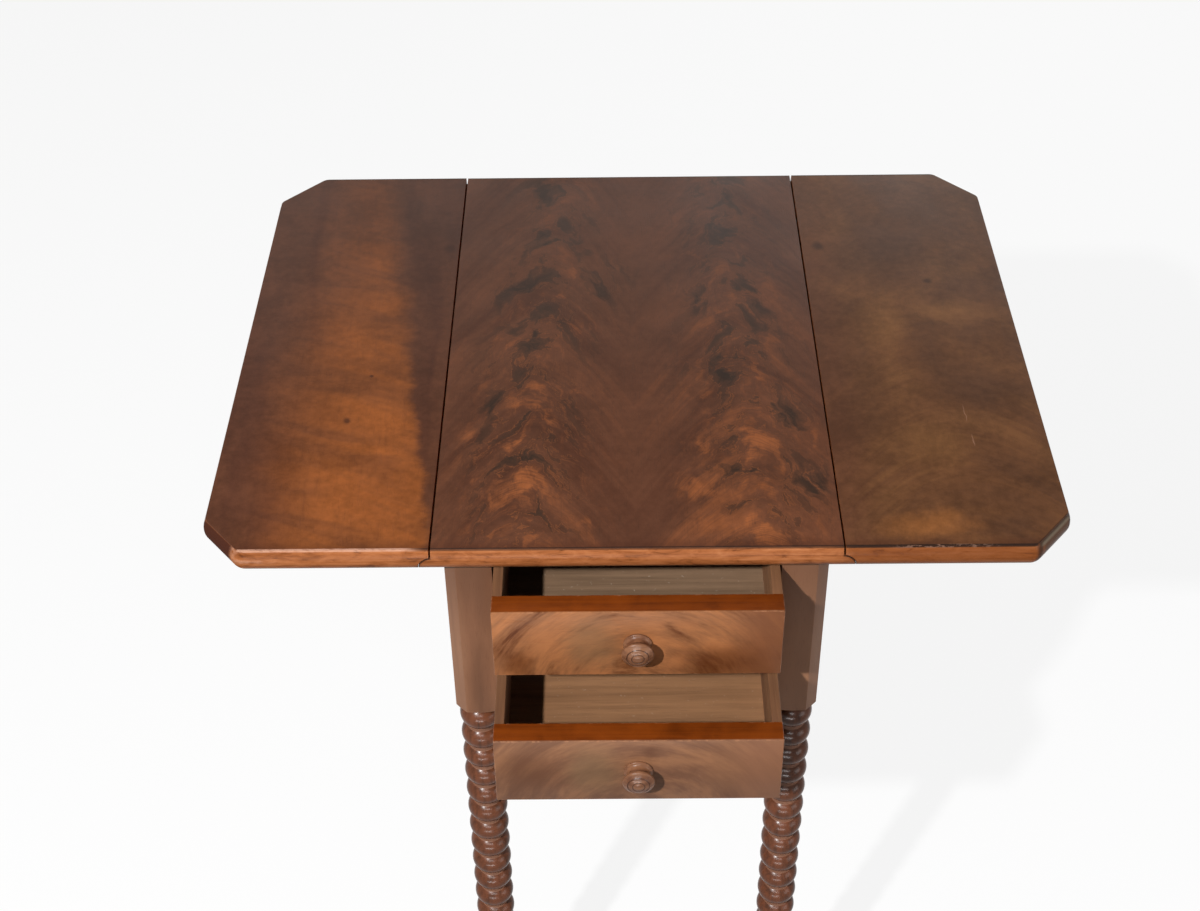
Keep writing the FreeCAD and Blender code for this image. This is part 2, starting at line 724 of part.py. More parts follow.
# One drawer, made closed and then drawn out to where it stands
def drawer(z_sill, out):
    z0 = z_sill + drawer_slide_gap
    x_out = x_open - drawer_side_gap
    x_in = x_out - drawer_side_thickness
    z_front = z0 + drawer_front_height
    z_side = z_front - drawer_side_drop
    z_floor = z0 + drawer_bottom_rise
    z_floor_top = z_floor + drawer_bottom_thickness
    y_face = y_rail_front
    y_inside = y_face + drawer_front_thickness
    y_end = y_face + drawer_depth
    y_back = y_end - drawer_back_thickness

    # the bottom board is feathered underneath and slides in from behind
    x_floor = x_in + groove_depth
    y_floor = y_inside - groove_depth
    floor = block(-x_floor, x_floor, y_floor, y_end, z_floor, z_floor_top)
    edge_rise = drawer_bottom_thickness - drawer_bottom_edge
    feather = outline_face(
        lambda x, z: Vec(x_floor - x, y_floor, z_floor + z),
        (0.0, 0.0),
        (drawer_bottom_bevel, 0.0),
        (0.0, edge_rise),
    ).extrude(Vec(0, drawer_depth, 0))
    front_feather = outline_face(
        lambda y, z: Vec(-x_floor, y_floor + y, z_floor + z),
        (0.0, 0.0),
        (drawer_bottom_bevel, 0.0),
        (0.0, edge_rise),
    ).extrude(Vec(2 * x_floor, 0, 0))
    floor = floor.cut(feather).cut(mirrored_x(feather)).cut(front_feather)
    groove_height = drawer_bottom_edge + edge_rise * groove_depth / drawer_bottom_bevel
    groove = block(-x_floor, x_floor, y_floor, y_end, z_floor_top - groove_height, z_floor_top)

    side = block(x_in, x_out, y_inside, y_back, z0, z_side)
    front_tails = dovetails(x_in, x_out, y_inside, -tail_length, z0, z_side, tail_root, tail_end)
    back_tails = dovetails(x_in, x_out, y_back, drawer_back_thickness, z_floor_top, z_side - drawer_back_drop,
                           tail_root, tail_end)
    below_back = block(x_in, x_out, y_back, y_end, z0, z_floor_top)
    side = joined([side, below_back] + front_tails + back_tails).cut(groove)
    front = block(-x_out, x_out, y_face, y_inside, z0, z_front).cut(groove)
    back = block(-x_out, x_out, y_back, y_end, z_floor_top, z_side - drawer_back_drop)
    for board in (side, mirrored_x(side)):
        front = front.cut(board)
        back = back.cut(board)
    for tail in front_tails:
        front = front.cut(tail).cut(mirrored_x(tail))

    z_knob = z0 + drawer_front_height / 2
    pull = knob(z_knob)
    front = front.cut(pull)

    nails = []
    reach = x_in - nail_end_distance
    for place in range(nail_count):
        x = -reach + 2 * reach * place / (nail_count - 1)
        y = y_back + drawer_back_thickness / 2
        head = Part.makeCylinder(nail_head_radius, nail_head_thickness, Vec(x, y, z_floor), up)
        shank = Part.makeCylinder(nail_radius, nail_length, Vec(x, y, z_floor), up)
        nail = joined([head, shank])
        nails.append(nail)
        floor = floor.cut(nail)
        back = back.cut(nail)

    pieces = {
        "front": front,
        "right_side": side,
        "left_side": mirrored_x(side),
        "back": back,
        "bottom": floor,
        "knob": pull,
        "bottom_nails": Part.makeCompound(nails),
    }
    moved = {}
    for name, shape in pieces.items():
        moved[name] = shape.translated(Vec(0, -out, 0))
    return moved


# Every piece under its name, with the left side as the right one mirrored
pieces = {
    "table_top": table_top,
    "top_front_rail": top_front_rail,
    "drawer_divider": drawer_divider,
    "bottom_front_rail": bottom_front_rail,
    "back_panel": back_panel,
    "drawer_stops": Part.makeCompound(drawer_stops),
    "glue_blocks": Part.makeCompound(glue_blocks),
    "top_screws": Part.makeCompound(top_screws),
}
paired = {
    "front_{}_leg": front_right_leg,
    "rear_{}_leg": rear_right_leg,
    "{}_side_panel": right_side_panel,
    "{}_inner_rail": right_inner_rail,
    "{}_fly_front_block": right_fly_front_block,
    "{}_fly_rear_block": right_fly_rear_block,
    "{}_fly_bracket": right_fly_bracket,
    "{}_fly_pin": right_fly_pin,
    "{}_upper_runner": right_upper_runner,
    "{}_lower_runner": right_lower_runner,
    "{}_lower_guide": right_lower_guide,
    "{}_kicker": right_kicker,
    "{}_leaf": right_leaf,
    "{}_leaf_hinge_flaps": Part.makeCompound(leaf_flaps),
    "{}_leaf_hinge_screws": Part.makeCompound(leaf_hinge_screws),
    "{}_top_hinge_flaps": Part.makeCompound(top_flaps),
    "{}_top_hinge_screws": Part.makeCompound(top_hinge_screws),
    "{}_hinge_pins": Part.makeCompound(hinge_pins),
}
for pattern, shape in paired.items():
    pieces[pattern.format("right")] = shape
    pieces[pattern.format("left")] = mirrored_x(shape)
for level, z_sill, out in (("upper", z_upper_sill, upper_drawer_out), ("lower", z_lower_sill, lower_drawer_out)):
    for name, shape in drawer(z_sill, out).items():
        pieces[level + "_drawer_" + name] = shape

os.makedirs("parts", exist_ok=True)
for name, shape in pieces.items():
    shape.exportStep("parts/" + name + ".step")
    print(name, len(shape.Solids), "solids, valid", shape.isValid(), "volume", round(shape.Volume))
print(len(pieces), "pieces")
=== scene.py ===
# Drop-leaf work table: eased shapes, finishes, floor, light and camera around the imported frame
import bpy
import json
import math
from mathutils import Matrix, Vector

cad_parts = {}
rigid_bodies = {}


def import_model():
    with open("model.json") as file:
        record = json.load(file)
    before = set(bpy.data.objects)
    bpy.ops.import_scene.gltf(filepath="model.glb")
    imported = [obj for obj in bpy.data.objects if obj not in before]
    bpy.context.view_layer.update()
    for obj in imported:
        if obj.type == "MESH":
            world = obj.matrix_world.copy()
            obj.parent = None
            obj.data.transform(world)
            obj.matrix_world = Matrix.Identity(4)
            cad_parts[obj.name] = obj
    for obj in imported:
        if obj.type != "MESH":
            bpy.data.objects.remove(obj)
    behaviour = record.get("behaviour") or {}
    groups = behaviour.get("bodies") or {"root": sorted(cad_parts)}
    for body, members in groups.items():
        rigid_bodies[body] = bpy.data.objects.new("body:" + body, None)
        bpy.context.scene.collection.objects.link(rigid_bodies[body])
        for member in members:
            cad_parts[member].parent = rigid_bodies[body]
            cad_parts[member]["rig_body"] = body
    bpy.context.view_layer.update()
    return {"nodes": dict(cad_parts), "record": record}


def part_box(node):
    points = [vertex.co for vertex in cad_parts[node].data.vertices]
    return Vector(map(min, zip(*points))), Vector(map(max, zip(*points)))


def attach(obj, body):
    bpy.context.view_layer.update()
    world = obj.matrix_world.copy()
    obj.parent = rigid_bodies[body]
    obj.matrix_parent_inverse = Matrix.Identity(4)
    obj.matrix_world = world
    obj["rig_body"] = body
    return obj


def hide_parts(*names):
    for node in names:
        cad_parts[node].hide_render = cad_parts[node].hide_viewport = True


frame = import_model()
nodes = frame["nodes"]
bpy.ops.object.select_all(action="DESELECT")
print("frame loaded with", len(nodes), "pieces")


# Camera, in metres and degrees, with the focal length in pixels of a 1200 wide picture
view = {
    "place": (-0.0181, -1.3123, 1.6984),
    "down": 40.18,
    "turn": 0.52,
    "roll": -0.8,
    "focalPixels": 1844.5,
    "widthPixels": 1200,
    "sensor": 36.0,
}


def makeCamera():
    bpy.ops.object.camera_add()
    camera = bpy.context.object
    camera.name = "photoCamera"
    camera.data.sensor_fit = "HORIZONTAL"
    camera.data.sensor_width = view["sensor"]
    camera.data.lens = view["sensor"] * view["focalPixels"] / view["widthPixels"]
    turn = Matrix.Rotation(math.radians(view["turn"]), 4, "Z")
    tilt = Matrix.Rotation(math.radians(90 - view["down"]), 4, "X")
    roll = Matrix.Rotation(math.radians(view["roll"]), 4, "Z")
    camera.matrix_world = Matrix.Translation(view["place"]) @ turn @ tilt @ roll
    bpy.context.scene.camera = camera


makeCamera()
print("camera set")


# Small node helpers; new nodes go into the tree that is being made
making = {"tree": None}


def shade(red, green, blue):  # 0 to 255 as seen, to the linear colour that the shader takes
    channels = []
    for value in (red, green, blue):
        value /= 255
        channels.append(value / 12.92 if value <= 0.04045 else ((value + 0.055) / 1.055) ** 2.4)
    return (*channels, 1.0)


def newNode(kind):
    return making["tree"].nodes.new("ShaderNode" + kind)


def plug(value, socket):
    if isinstance(value, bpy.types.NodeSocket):
        making["tree"].links.new(value, socket)
    else:
        socket.default_value = value


def plugInOrder(node, values):
    for socket, value in zip(node.inputs, values):
        plug(value, socket)


def plugByName(node, **values):  # From_Min stands for the socket From Min
    for label, value in values.items():
        plug(value, node.inputs[label.replace("_", " ")])


def calc(operation, *values):
    node = newNode("Math")
    node.operation = operation
    plugInOrder(node, values)
    return node.outputs[0]


def times(first, *others):
    for other in others:
        first = calc("MULTIPLY", first, other)
    return first


def plus(first, *others):
    for other in others:
        first = calc("ADD", first, other)
    return first


def minus(first, second):
    return calc("SUBTRACT", first, second)


def apart(first, second):
    return calc("ABSOLUTE", minus(first, second))


def larger(first, second):
    return calc("MAXIMUM", first, second)


def between(first, second, share):  # first where share is 0, second where it is 1
    return plus(first, times(minus(second, first), share))


def vectorCalc(operation, *values):
    node = newNode("VectorMath")
    node.operation = operation
    plugInOrder(node, values)
    return node.outputs["Value" if operation == "LENGTH" else "Vector"]


def scaled(vector, factor):
    result = vectorCalc("SCALE", vector)
    plug(factor, result.node.inputs["Scale"])
    return result


def fade(value, low, high, start=0.0, end=1.0):  # smooth step from start at low to end at high
    node = newNode("MapRange")
    node.interpolation_type = "SMOOTHSTEP"
    plugByName(node, Value=value, From_Min=low, From_Max=high, To_Min=start, To_Max=end)
    return node.outputs["Result"]


def tinge(factor, under, over):
    node = newNode("Mix")
    node.data_type = "RGBA"
    for index, value in ((0, factor), (6, under), (7, over)):
        plug(value, node.inputs[index])
    return node.outputs[2]


def coats(colour, *layers):  # layers are (mask, strength, colour), laid one over the other
    for mask, strength, over in layers:
        colour = tinge(times(mask, strength), colour, over)
    return colour


def ramp(value, *stops):  # stops are (place, colour)
    node = newNode("ValToRGB")
    plug(value, node.inputs[0])
    while len(node.color_ramp.elements) < len(stops):
        node.color_ramp.elements.new(0.5)
    for element, (place, colour) in zip(node.color_ramp.elements, stops):
        element.position = place
        element.color = colour
    return node.outputs[0]


def noise(vector, scale=1.0, detail=3.0, rough=0.5, warp=0.0, output=0):
    node = newNode("TexNoise")
    plugByName(node, Vector=vector, Scale=scale, Detail=detail, Roughness=rough, Distortion=warp)
    return node.outputs[output]


def point(x, y, z):
    node = newNode("CombineXYZ")
    plugInOrder(node, (x, y, z))
    return node.outputs[0]


def split(vector):
    node = newNode("SeparateXYZ")
    plug(vector, node.inputs[0])
    return node.outputs[0], node.outputs[1], node.outputs[2]


def fromAxis(first, second):  # distance from an axis, from the two distances square to it
    return vectorCalc("LENGTH", point(first, second, 0.0))


def figured(place, factors, seed, detail, rough, warp=0.0):  # noise of three values, each with its own scale
    vector = vectorCalc("MULTIPLY", point(*place), factors)
    return noise(vectorCalc("ADD", vector, (seed, seed, seed)), 1.0, detail, rough, warp)


def turned(vector, degrees):  # the same place in turned axes, so that a pattern lies along a piece
    node = newNode("Mapping")
    plugByName(node, Rotation=[math.radians(angle) for angle in degrees], Vector=vector)
    return node.outputs[0]


def torn(vector, scale, reach):  # the place pulled about by noise, so that an edge turns ragged
    pull = vectorCalc("SUBTRACT", noise(vector, scale, 4.0, 0.6, 0.0, "Color"), (0.5, 0.5, 0.5))
    return vectorCalc("ADD", vector, vectorCalc("MULTIPLY", pull, (reach, reach, reach)))


def newGroup(name, inputs, outputs):
    group = bpy.data.node_groups.new(name, "ShaderNodeTree")
    for label, kind in inputs:
        group.interface.new_socket(label, in_out="INPUT", socket_type="NodeSocket" + kind)
    for label in outputs:
        group.interface.new_socket(label, in_out="OUTPUT", socket_type="NodeSocketFloat")
    making["tree"] = group
    return group, group.nodes.new("NodeGroupInput").outputs, group.nodes.new("NodeGroupOutput").inputs


def use(group, **values):
    node = newNode("Group")
    node.node_tree = group
    plugByName(node, **values)
    return node.outputs


# Shared effects
def makeGrain():  # grain lies along X: streaks, open pores and slow bands of tone
    inputs = [("Vector", "Vector"), ("Seed", "Float")]
    group, given, out = newGroup("woodGrain", inputs, ["Streak", "Pores", "Tone"])
    place = vectorCalc("ADD", given["Vector"], point(0.0, given["Seed"], given["Seed"]))
    streak = noise(vectorCalc("MULTIPLY", place, (7.0, 190.0, 190.0)), 1.0, 4.0, 0.62, 0.3)
    pores = noise(vectorCalc("MULTIPLY", place, (75.0, 1500.0, 1500.0)), 1.0, 2.0, 0.5)
    tone = noise(vectorCalc("MULTIPLY", place, (3.0, 26.0, 26.0)), 1.0, 3.0, 0.5, 0.6)
    plug(streak, out["Streak"])
    plug(fade(pores, 0.58, 0.70), out["Pores"])
    plug(tone, out["Tone"])
    return group


def makeMark():  # one soft-edged oval of figure, cloud or knot
    inputs = [("Vector", "Vector"), ("Centre", "Vector"), ("Size", "Vector"), ("Soft", "Float")]
    group, given, out = newGroup("figureMark", inputs, ["Mask"])
    away = vectorCalc("SUBTRACT", given["Vector"], given["Centre"])
    reach = vectorCalc("LENGTH", vectorCalc("DIVIDE", away, given["Size"]))
    core = minus(1.0, given["Soft"])
    plug(fade(reach, 1.0, core), out["Mask"])
    return group


def makeWear():  # rubbed arrises of a board: the middle one of its three distances to the faces
    inputs = [("Vector", "Vector"), ("Centre", "Vector"), ("Half", "Vector"), ("Width", "Float")]
    group, given, out = newGroup("edgeWear", inputs, ["Mask"])
    away = vectorCalc("ABSOLUTE", vectorCalc("SUBTRACT", given["Vector"], given["Centre"]))
    a, b, c = split(vectorCalc("SUBTRACT", given["Half"], away))
    upper = calc("MINIMUM", larger(a, b), c)
    middle = larger(calc("MINIMUM", a, b), upper)
    ragged = noise(given["Vector"], 140.0, 4.0, 0.6)
    reach = times(given["Width"], fade(ragged, 0.3, 0.75, 0.15, 1.6))
    plug(fade(middle, reach, times(reach, 0.3)), out["Mask"])
    return group


def makePatina():  # uneven polish, rubbed haze and settled specks
    inputs = [("Vector", "Vector"), ("Scale", "Float")]
    group, given, out = newGroup("patina", inputs, ["Cloud", "Haze", "Specks"])
    place = scaled(given["Vector"], given["Scale"])
    plug(noise(place, 1.0, 5.0, 0.55, 0.4), out["Cloud"])
    plug(noise(place, 6.0, 6.0, 0.65), out["Haze"])
    plug(fade(noise(given["Vector"], 420.0, 1.0, 0.4), 0.72, 0.80), out["Specks"])
    return group


grainGroup = makeGrain()
markGroup = makeMark()
wearGroup = makeWear()
patinaGroup = makePatina()


def newMaterial(name):
    material = bpy.data.materials.new(name)
    material.use_nodes = True
    making["tree"] = material.node_tree
    return material, newNode("TexCoord").outputs["Object"]


def finish(colour, roughness, height, depth, specular):
    shader = making["tree"].nodes["Principled BSDF"]
    plugByName(shader, Base_Color=colour, Roughness=roughness, Specular_IOR_Level=specular)
    bump = newNode("Bump")
    plugByName(bump, Strength=1.0, Distance=depth, Height=height)
    plug(bump.outputs["Normal"], shader.inputs["Normal"])


def marks(vector, spots, soft, spread=1.0):  # all ovals of a list in one mask
    mask = 0.0
    for x, y, halfX, halfY in spots:
        size = (halfX * spread, halfY * spread, 10.0)
        mask = larger(mask, use(markGroup, Vector=vector, Centre=(x, y, 0.0), Size=size, Soft=soft)["Mask"])
    return mask


def polished(place, scale, low, high):  # roughness of an old hand-rubbed polish
    polish = use(patinaGroup, Vector=place, Scale=scale)
    return plus(fade(polish["Cloud"], 0.3, 0.7, low, high), times(polish["Haze"], 0.08))


# Table top and leaves share their levels, the thumbnail edge and a painted sheen, a grey painted reflection
# that grows towards the back
topLow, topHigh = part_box("table_top")
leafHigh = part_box("right_leaf")[1]
board = {
    "halfDepth": topHigh.y, "edge": leafHigh.x, "surface": topHigh.z, "under": topLow.z,
    "hinge": 0.160, "pivot": topLow.z + 0.002, "jointRound": 0.0100,
    "clipFront": (0.032, 0.038), "clipBack": (0.040, 0.043), "cornerRadius": 0.012,
    "step": 0.0030, "noseHighlightDepth": 0.0100, "poreDepth": 0.00010,
    "specular": 0.05, "edgeGloss": -0.10, "clipDull": 0.50,
    "paintedSheen": shade(120, 102, 94), "paintedSheenStrength": 0.15, "paintedSheenZone": (-0.22, 0.27),
    "edgeDark": shade(108, 56, 22), "edgeWarm": shade(152, 90, 50), "edgePale": shade(175, 111, 70),
    "clipEnd": shade(66, 35, 24), "clipRight": shade(88, 56, 35), "clipPaintedSheen": shade(124, 111, 94),
    "dirt": shade(40, 27, 21), "raw": shade(128, 92, 66), "rubbed": shade(196, 150, 126),
    "rubsAndHighlights": [(-0.312, -0.267, 0.007, 0.006)], "soiledCorner": [(0.313, -0.2700, 0.0050, 0.0050)],
    "noseHighlightFrom": -0.320, "noseHighlightTo": -0.272,
    "arrisHighlightFrom": -0.318, "arrisHighlightTo": -0.172, "arrisHighlightSoft": 0.010,
    "fleckStart": (0.190, 0.215), "fleckEnd": (0.290, 0.250),
    "frontZone": (-0.20, -0.26), "rightZone": (0.150, 0.170),
}


# painted sheen: the colour greyed towards the back, standing in for a reflection
def withPaintedSheen(y, colour):
    return tinge(fade(y, *board["paintedSheenZone"], 0.0, board["paintedSheenStrength"]), colour, board["paintedSheen"])


def depthShare(y):  # 0 at the back edge, 1 at the front
    return calc("DIVIDE", minus(board["halfDepth"], y), 2 * board["halfDepth"])


def clipReach(fromSide, fromFront, clip):  # inward distance from the line of a clipped corner
    width, depth = clip
    length = math.hypot(width, depth)
    return fromSide * depth / length + fromFront * width / length - width * depth / length


def edgeReach(place):  # inward distances from the front or back, the side and the clipped corner
    x, y = split(place)[:2]
    fromFront = minus(board["halfDepth"], calc("ABSOLUTE", y))
    fromSide = minus(board["edge"], calc("ABSOLUTE", x))
    corners = []
    for clip in (board["clipFront"], board["clipBack"]):
        offset = clipReach(0, 0, clip)
        side = times(fromSide, clipReach(1, 0, clip) - offset)
        front = times(fromFront, clipReach(0, 1, clip) - offset)
        corners.append(plus(side, front, offset))
    return fromFront, fromSide, between(*corners, calc("GREATER_THAN", y, 0.0))


def mouldedEdge(place, colour):  # colour above, solid wood on the moulding, raw wood underneath
    x, y, z = split(place)
    step, surface, under = board["step"], board["surface"], board["under"]
    fromFront, fromSide, fromClip = edgeReach(place)
    atFront = fade(y, *board["frontZone"])
    onRight = fade(x, *board["rightZone"])
    streak = figured((x, y, z), (9.0, 9.0, 300.0), 0.0, 4.0, 0.55, 0.4)
    blotch = figured((x, y, z), (55.0, 55.0, 190.0), 8.0, 5.0, 0.62, 0.8)
    grit = fade(figured((x, y, z), (160.0, 500.0, 500.0), 0.0, 4.0, 0.6), 0.34, 0.58)
    wood = ramp(between(streak, blotch, 0.50), (0.34, board["edgeDark"]), (0.50, board["edgeWarm"]),
                (0.66, board["edgePale"]))
    clipEnd = tinge(fade(x, 0.0, 0.2), board["clipEnd"], board["clipRight"])
    onClip = times(fade(fromClip, step + 0.0012, step - 0.0006), fade(fromFront, 0.004, 0.010))
    # painted highlight, with some wear, along the middle of the left front nose
    noseHighlight = times(fade(apart(z, surface - board["noseHighlightDepth"]), 0.0028, 0.0006),
                   fade(x, board["noseHighlightFrom"], board["noseHighlightFrom"] + 0.010),
                   fade(x, board["noseHighlightTo"], board["noseHighlightTo"] - 0.030), atFront)
    # pale rubs at the left front corner: wear, with a painted highlight where the round turns, joined with
    # the nose's painted highlight
    rubsAndHighlights = larger(marks(torn(place, 150.0, 0.006), board["rubsAndHighlights"], 0.9), noseHighlight)
    wood = coats(wood, (onRight, 0.65, board["edgeDark"]), (fade(blotch, 0.42, 0.28), 0.5, board["clipEnd"]),
                 (onClip, 1.0, clipEnd), (fade(fromSide, step + 0.0006, step), 0.6, board["clipEnd"]),
                 (rubsAndHighlights, times(grit, 0.40), board["rubbed"]))
    # the top darker along its front edges
    darkerNearFront = times(fade(fromFront, 0.016, 0.003), fade(y, 0.0, -0.2))
    belowTop = fade(z, surface - 0.0003, surface - 0.0009)
    colour = coats(colour, (darkerNearFront, 0.40, board["clipEnd"]), (belowTop, 1.0, wood))

    # grime where the rule joints come out at the front and back
    outX = minus(calc("ABSOLUTE", x), board["hinge"])
    fromRound = apart(fromAxis(outX, minus(z, board["pivot"])), board["jointRound"])
    inJoint = times(fade(fromRound, 0.0013, 0.0003), fade(outX, -0.001, 0.001), fade(fromFront, 0.005, 0.003))

    # the left leaf's front arris pale with wear and a painted highlight, dirt and painted shade in the step
    # along the others, and pale flecks of wear and painted highlight on the right one
    onArris = times(fade(apart(fromFront, step), 0.0016, 0.0006), fade(z, surface - 0.0024, surface - 0.0014))
    soft = board["arrisHighlightSoft"]
    # painted highlight, with some wear, along the left leaf's front arris
    worn = times(fade(x, board["arrisHighlightFrom"] - soft, board["arrisHighlightFrom"] + soft),
                 fade(x, board["arrisHighlightTo"] + soft, board["arrisHighlightTo"] - soft), atFront)
    # pale flecks on the right leaf's front arris: wear, with painted highlight
    flecks = times(onArris, fade(x, *board["fleckStart"]), fade(x, *board["fleckEnd"]),
                   fade(grit, 0.85, 1.0), atFront)
    colour = coats(colour, (inJoint, fade(grit, 0.0, 1.0, 0.55, 0.95), board["dirt"]),
                   (times(onArris, worn), fade(grit, 0.0, 1.0, 0.45, 0.80), board["rubbed"]),
                   # the dark line in the step along the other front arrises: dirt, with painted shade
                   (times(onArris, minus(1.0, worn)), plus(0.70, times(onRight, 0.25)), board["dirt"]),
                   (flecks, 0.30, board["rubbed"]))

    # the right front clip: a painted sheen on its ledge, dirt along its arris and in the corner
    rightFront = times(fade(x, 0.20, 0.25), fade(y, -0.18, -0.22), fade(fromFront, 0.003, 0.006))
    paintedLedgeSheen = times(fade(fromClip, step, step - 0.0006), fade(z, surface - 0.0064, surface - 0.0034))
    clipArris = times(fade(apart(fromClip, step), 0.0014, 0.0004), rightFront)
    corner = marks(torn(place, 200.0, 0.003), board["soiledCorner"], 0.8)
    return coats(colour, (times(paintedLedgeSheen, rightFront), 0.75, board["clipPaintedSheen"]),
                 (clipArris, 0.60, board["dirt"]), (corner, 0.75, board["dirt"]),
                 (fade(z, under + 0.0022, under + 0.0012), 1.0, board["raw"]))


def boardGloss(place, scale, low, high):  # the moulding shines, the left end grain is dull
    x, z = split(place)[::2]
    fromClip = edgeReach(place)[2]
    onEdge = fade(z, board["surface"] - 0.0002, board["surface"] - 0.0012)
    onClip = times(onEdge, fade(x, 0.0, -0.2), fade(fromClip, board["step"] + 0.0010, board["step"]))
    gloss = polished(place, scale, low, high)
    return plus(gloss, times(onEdge, board["edgeGloss"]), times(onClip, board["clipDull"]))


def mottled(place, colour, strength):  # blotches of an old polish, some a hand wide and some a finger
    polish = use(patinaGroup, Vector=place, Scale=20.0)
    blotch = between(polish["Cloud"], polish["Haze"], 0.45)
    return scaled(colour, fade(blotch, 0.32, 0.68, 1 - strength, 1 + strength))


def finishBoard(place, colour, pores, poreTone, mottle, gloss, relief=0.0):  # shared by top and leaves
    colour = tinge(times(pores, 0.18), colour, poreTone)
    colour = withPaintedSheen(split(place)[1], mottled(place, colour, mottle))
    height = plus(times(pores, -0.4), relief)
    colour = mouldedEdge(place, colour)
    finish(colour, boardGloss(place, *gloss), height, board["poreDepth"], board["specular"])


# Book-matched crotch veneer of the fixed top; lengths in metres, front is -Y
crotch = {
    "coreLeft": (0.068, 0.092), "coreRight": (0.085, 0.099),  # off the seam, at the back and at the front
    "coreSway": 0.03,
    "rayFall": 6.0, "rayCurve": 1.6, "seamReach": 0.085,
    "plumeWidth": 0.046,
    "deep": shade(74, 44, 31), "ground": shade(89, 55, 39), "warm": shade(104, 63, 43),
    "glow": shade(148, 86, 50), "cloud": shade(50, 38, 30), "cloudCore": shade(36, 29, 24),
    "flameReach": 0.040, "litBias": 0.16, "darkBias": 0.17, "cloudSpread": 1.35, "contrast": 1.22,
    "clouds": [
        (0.090, 0.242, 0.016, 0.026), (0.091, 0.176, 0.018, 0.030), (0.111, 0.068, 0.016, 0.060),
        (0.126, -0.106, 0.024, 0.034), (0.141, -0.200, 0.018, 0.042), (0.074, -0.044, 0.014, 0.044),
        (0.057, 0.060, 0.013, 0.032), (0.076, -0.178, 0.022, 0.012),
        (-0.086, 0.240, 0.024, 0.034), (-0.087, 0.158, 0.024, 0.038), (-0.104, 0.076, 0.034, 0.044),
        (-0.023, 0.096, 0.034, 0.054), (-0.092, 0.005, 0.028, 0.034), (-0.118, -0.096, 0.013, 0.030),
        (-0.123, -0.157, 0.018, 0.036), (-0.089, -0.163, 0.024, 0.019),
    ],
    "flecks": [
        (0.119, -0.005, 0.014, 0.024), (0.057, -0.066, 0.014, 0.058), (0.060, -0.149, 0.018, 0.022),
        (0.053, -0.199, 0.042, 0.027), (0.051, -0.243, 0.030, 0.028), (0.091, 0.061, 0.016, 0.018),
        (0.147, -0.130, 0.006, 0.060), (0.129, 0.058, 0.005, 0.060), (0.102, -0.152, 0.026, 0.026),
        (0.095, -0.248, 0.030, 0.020),
        (-0.107, 0.179, 0.014, 0.012), (-0.060, 0.104, 0.016, 0.016), (-0.046, 0.144, 0.011, 0.012),
        (-0.115, 0.001, 0.018, 0.010), (-0.077, -0.068, 0.012, 0.010), (-0.087, -0.094, 0.012, 0.018),
        (-0.070, -0.113, 0.014, 0.013), (-0.100, -0.143, 0.020, 0.022), (-0.084, -0.187, 0.024, 0.020),
        (-0.135, -0.136, 0.012, 0.018), (-0.049, -0.239, 0.020, 0.012),
    ],
}


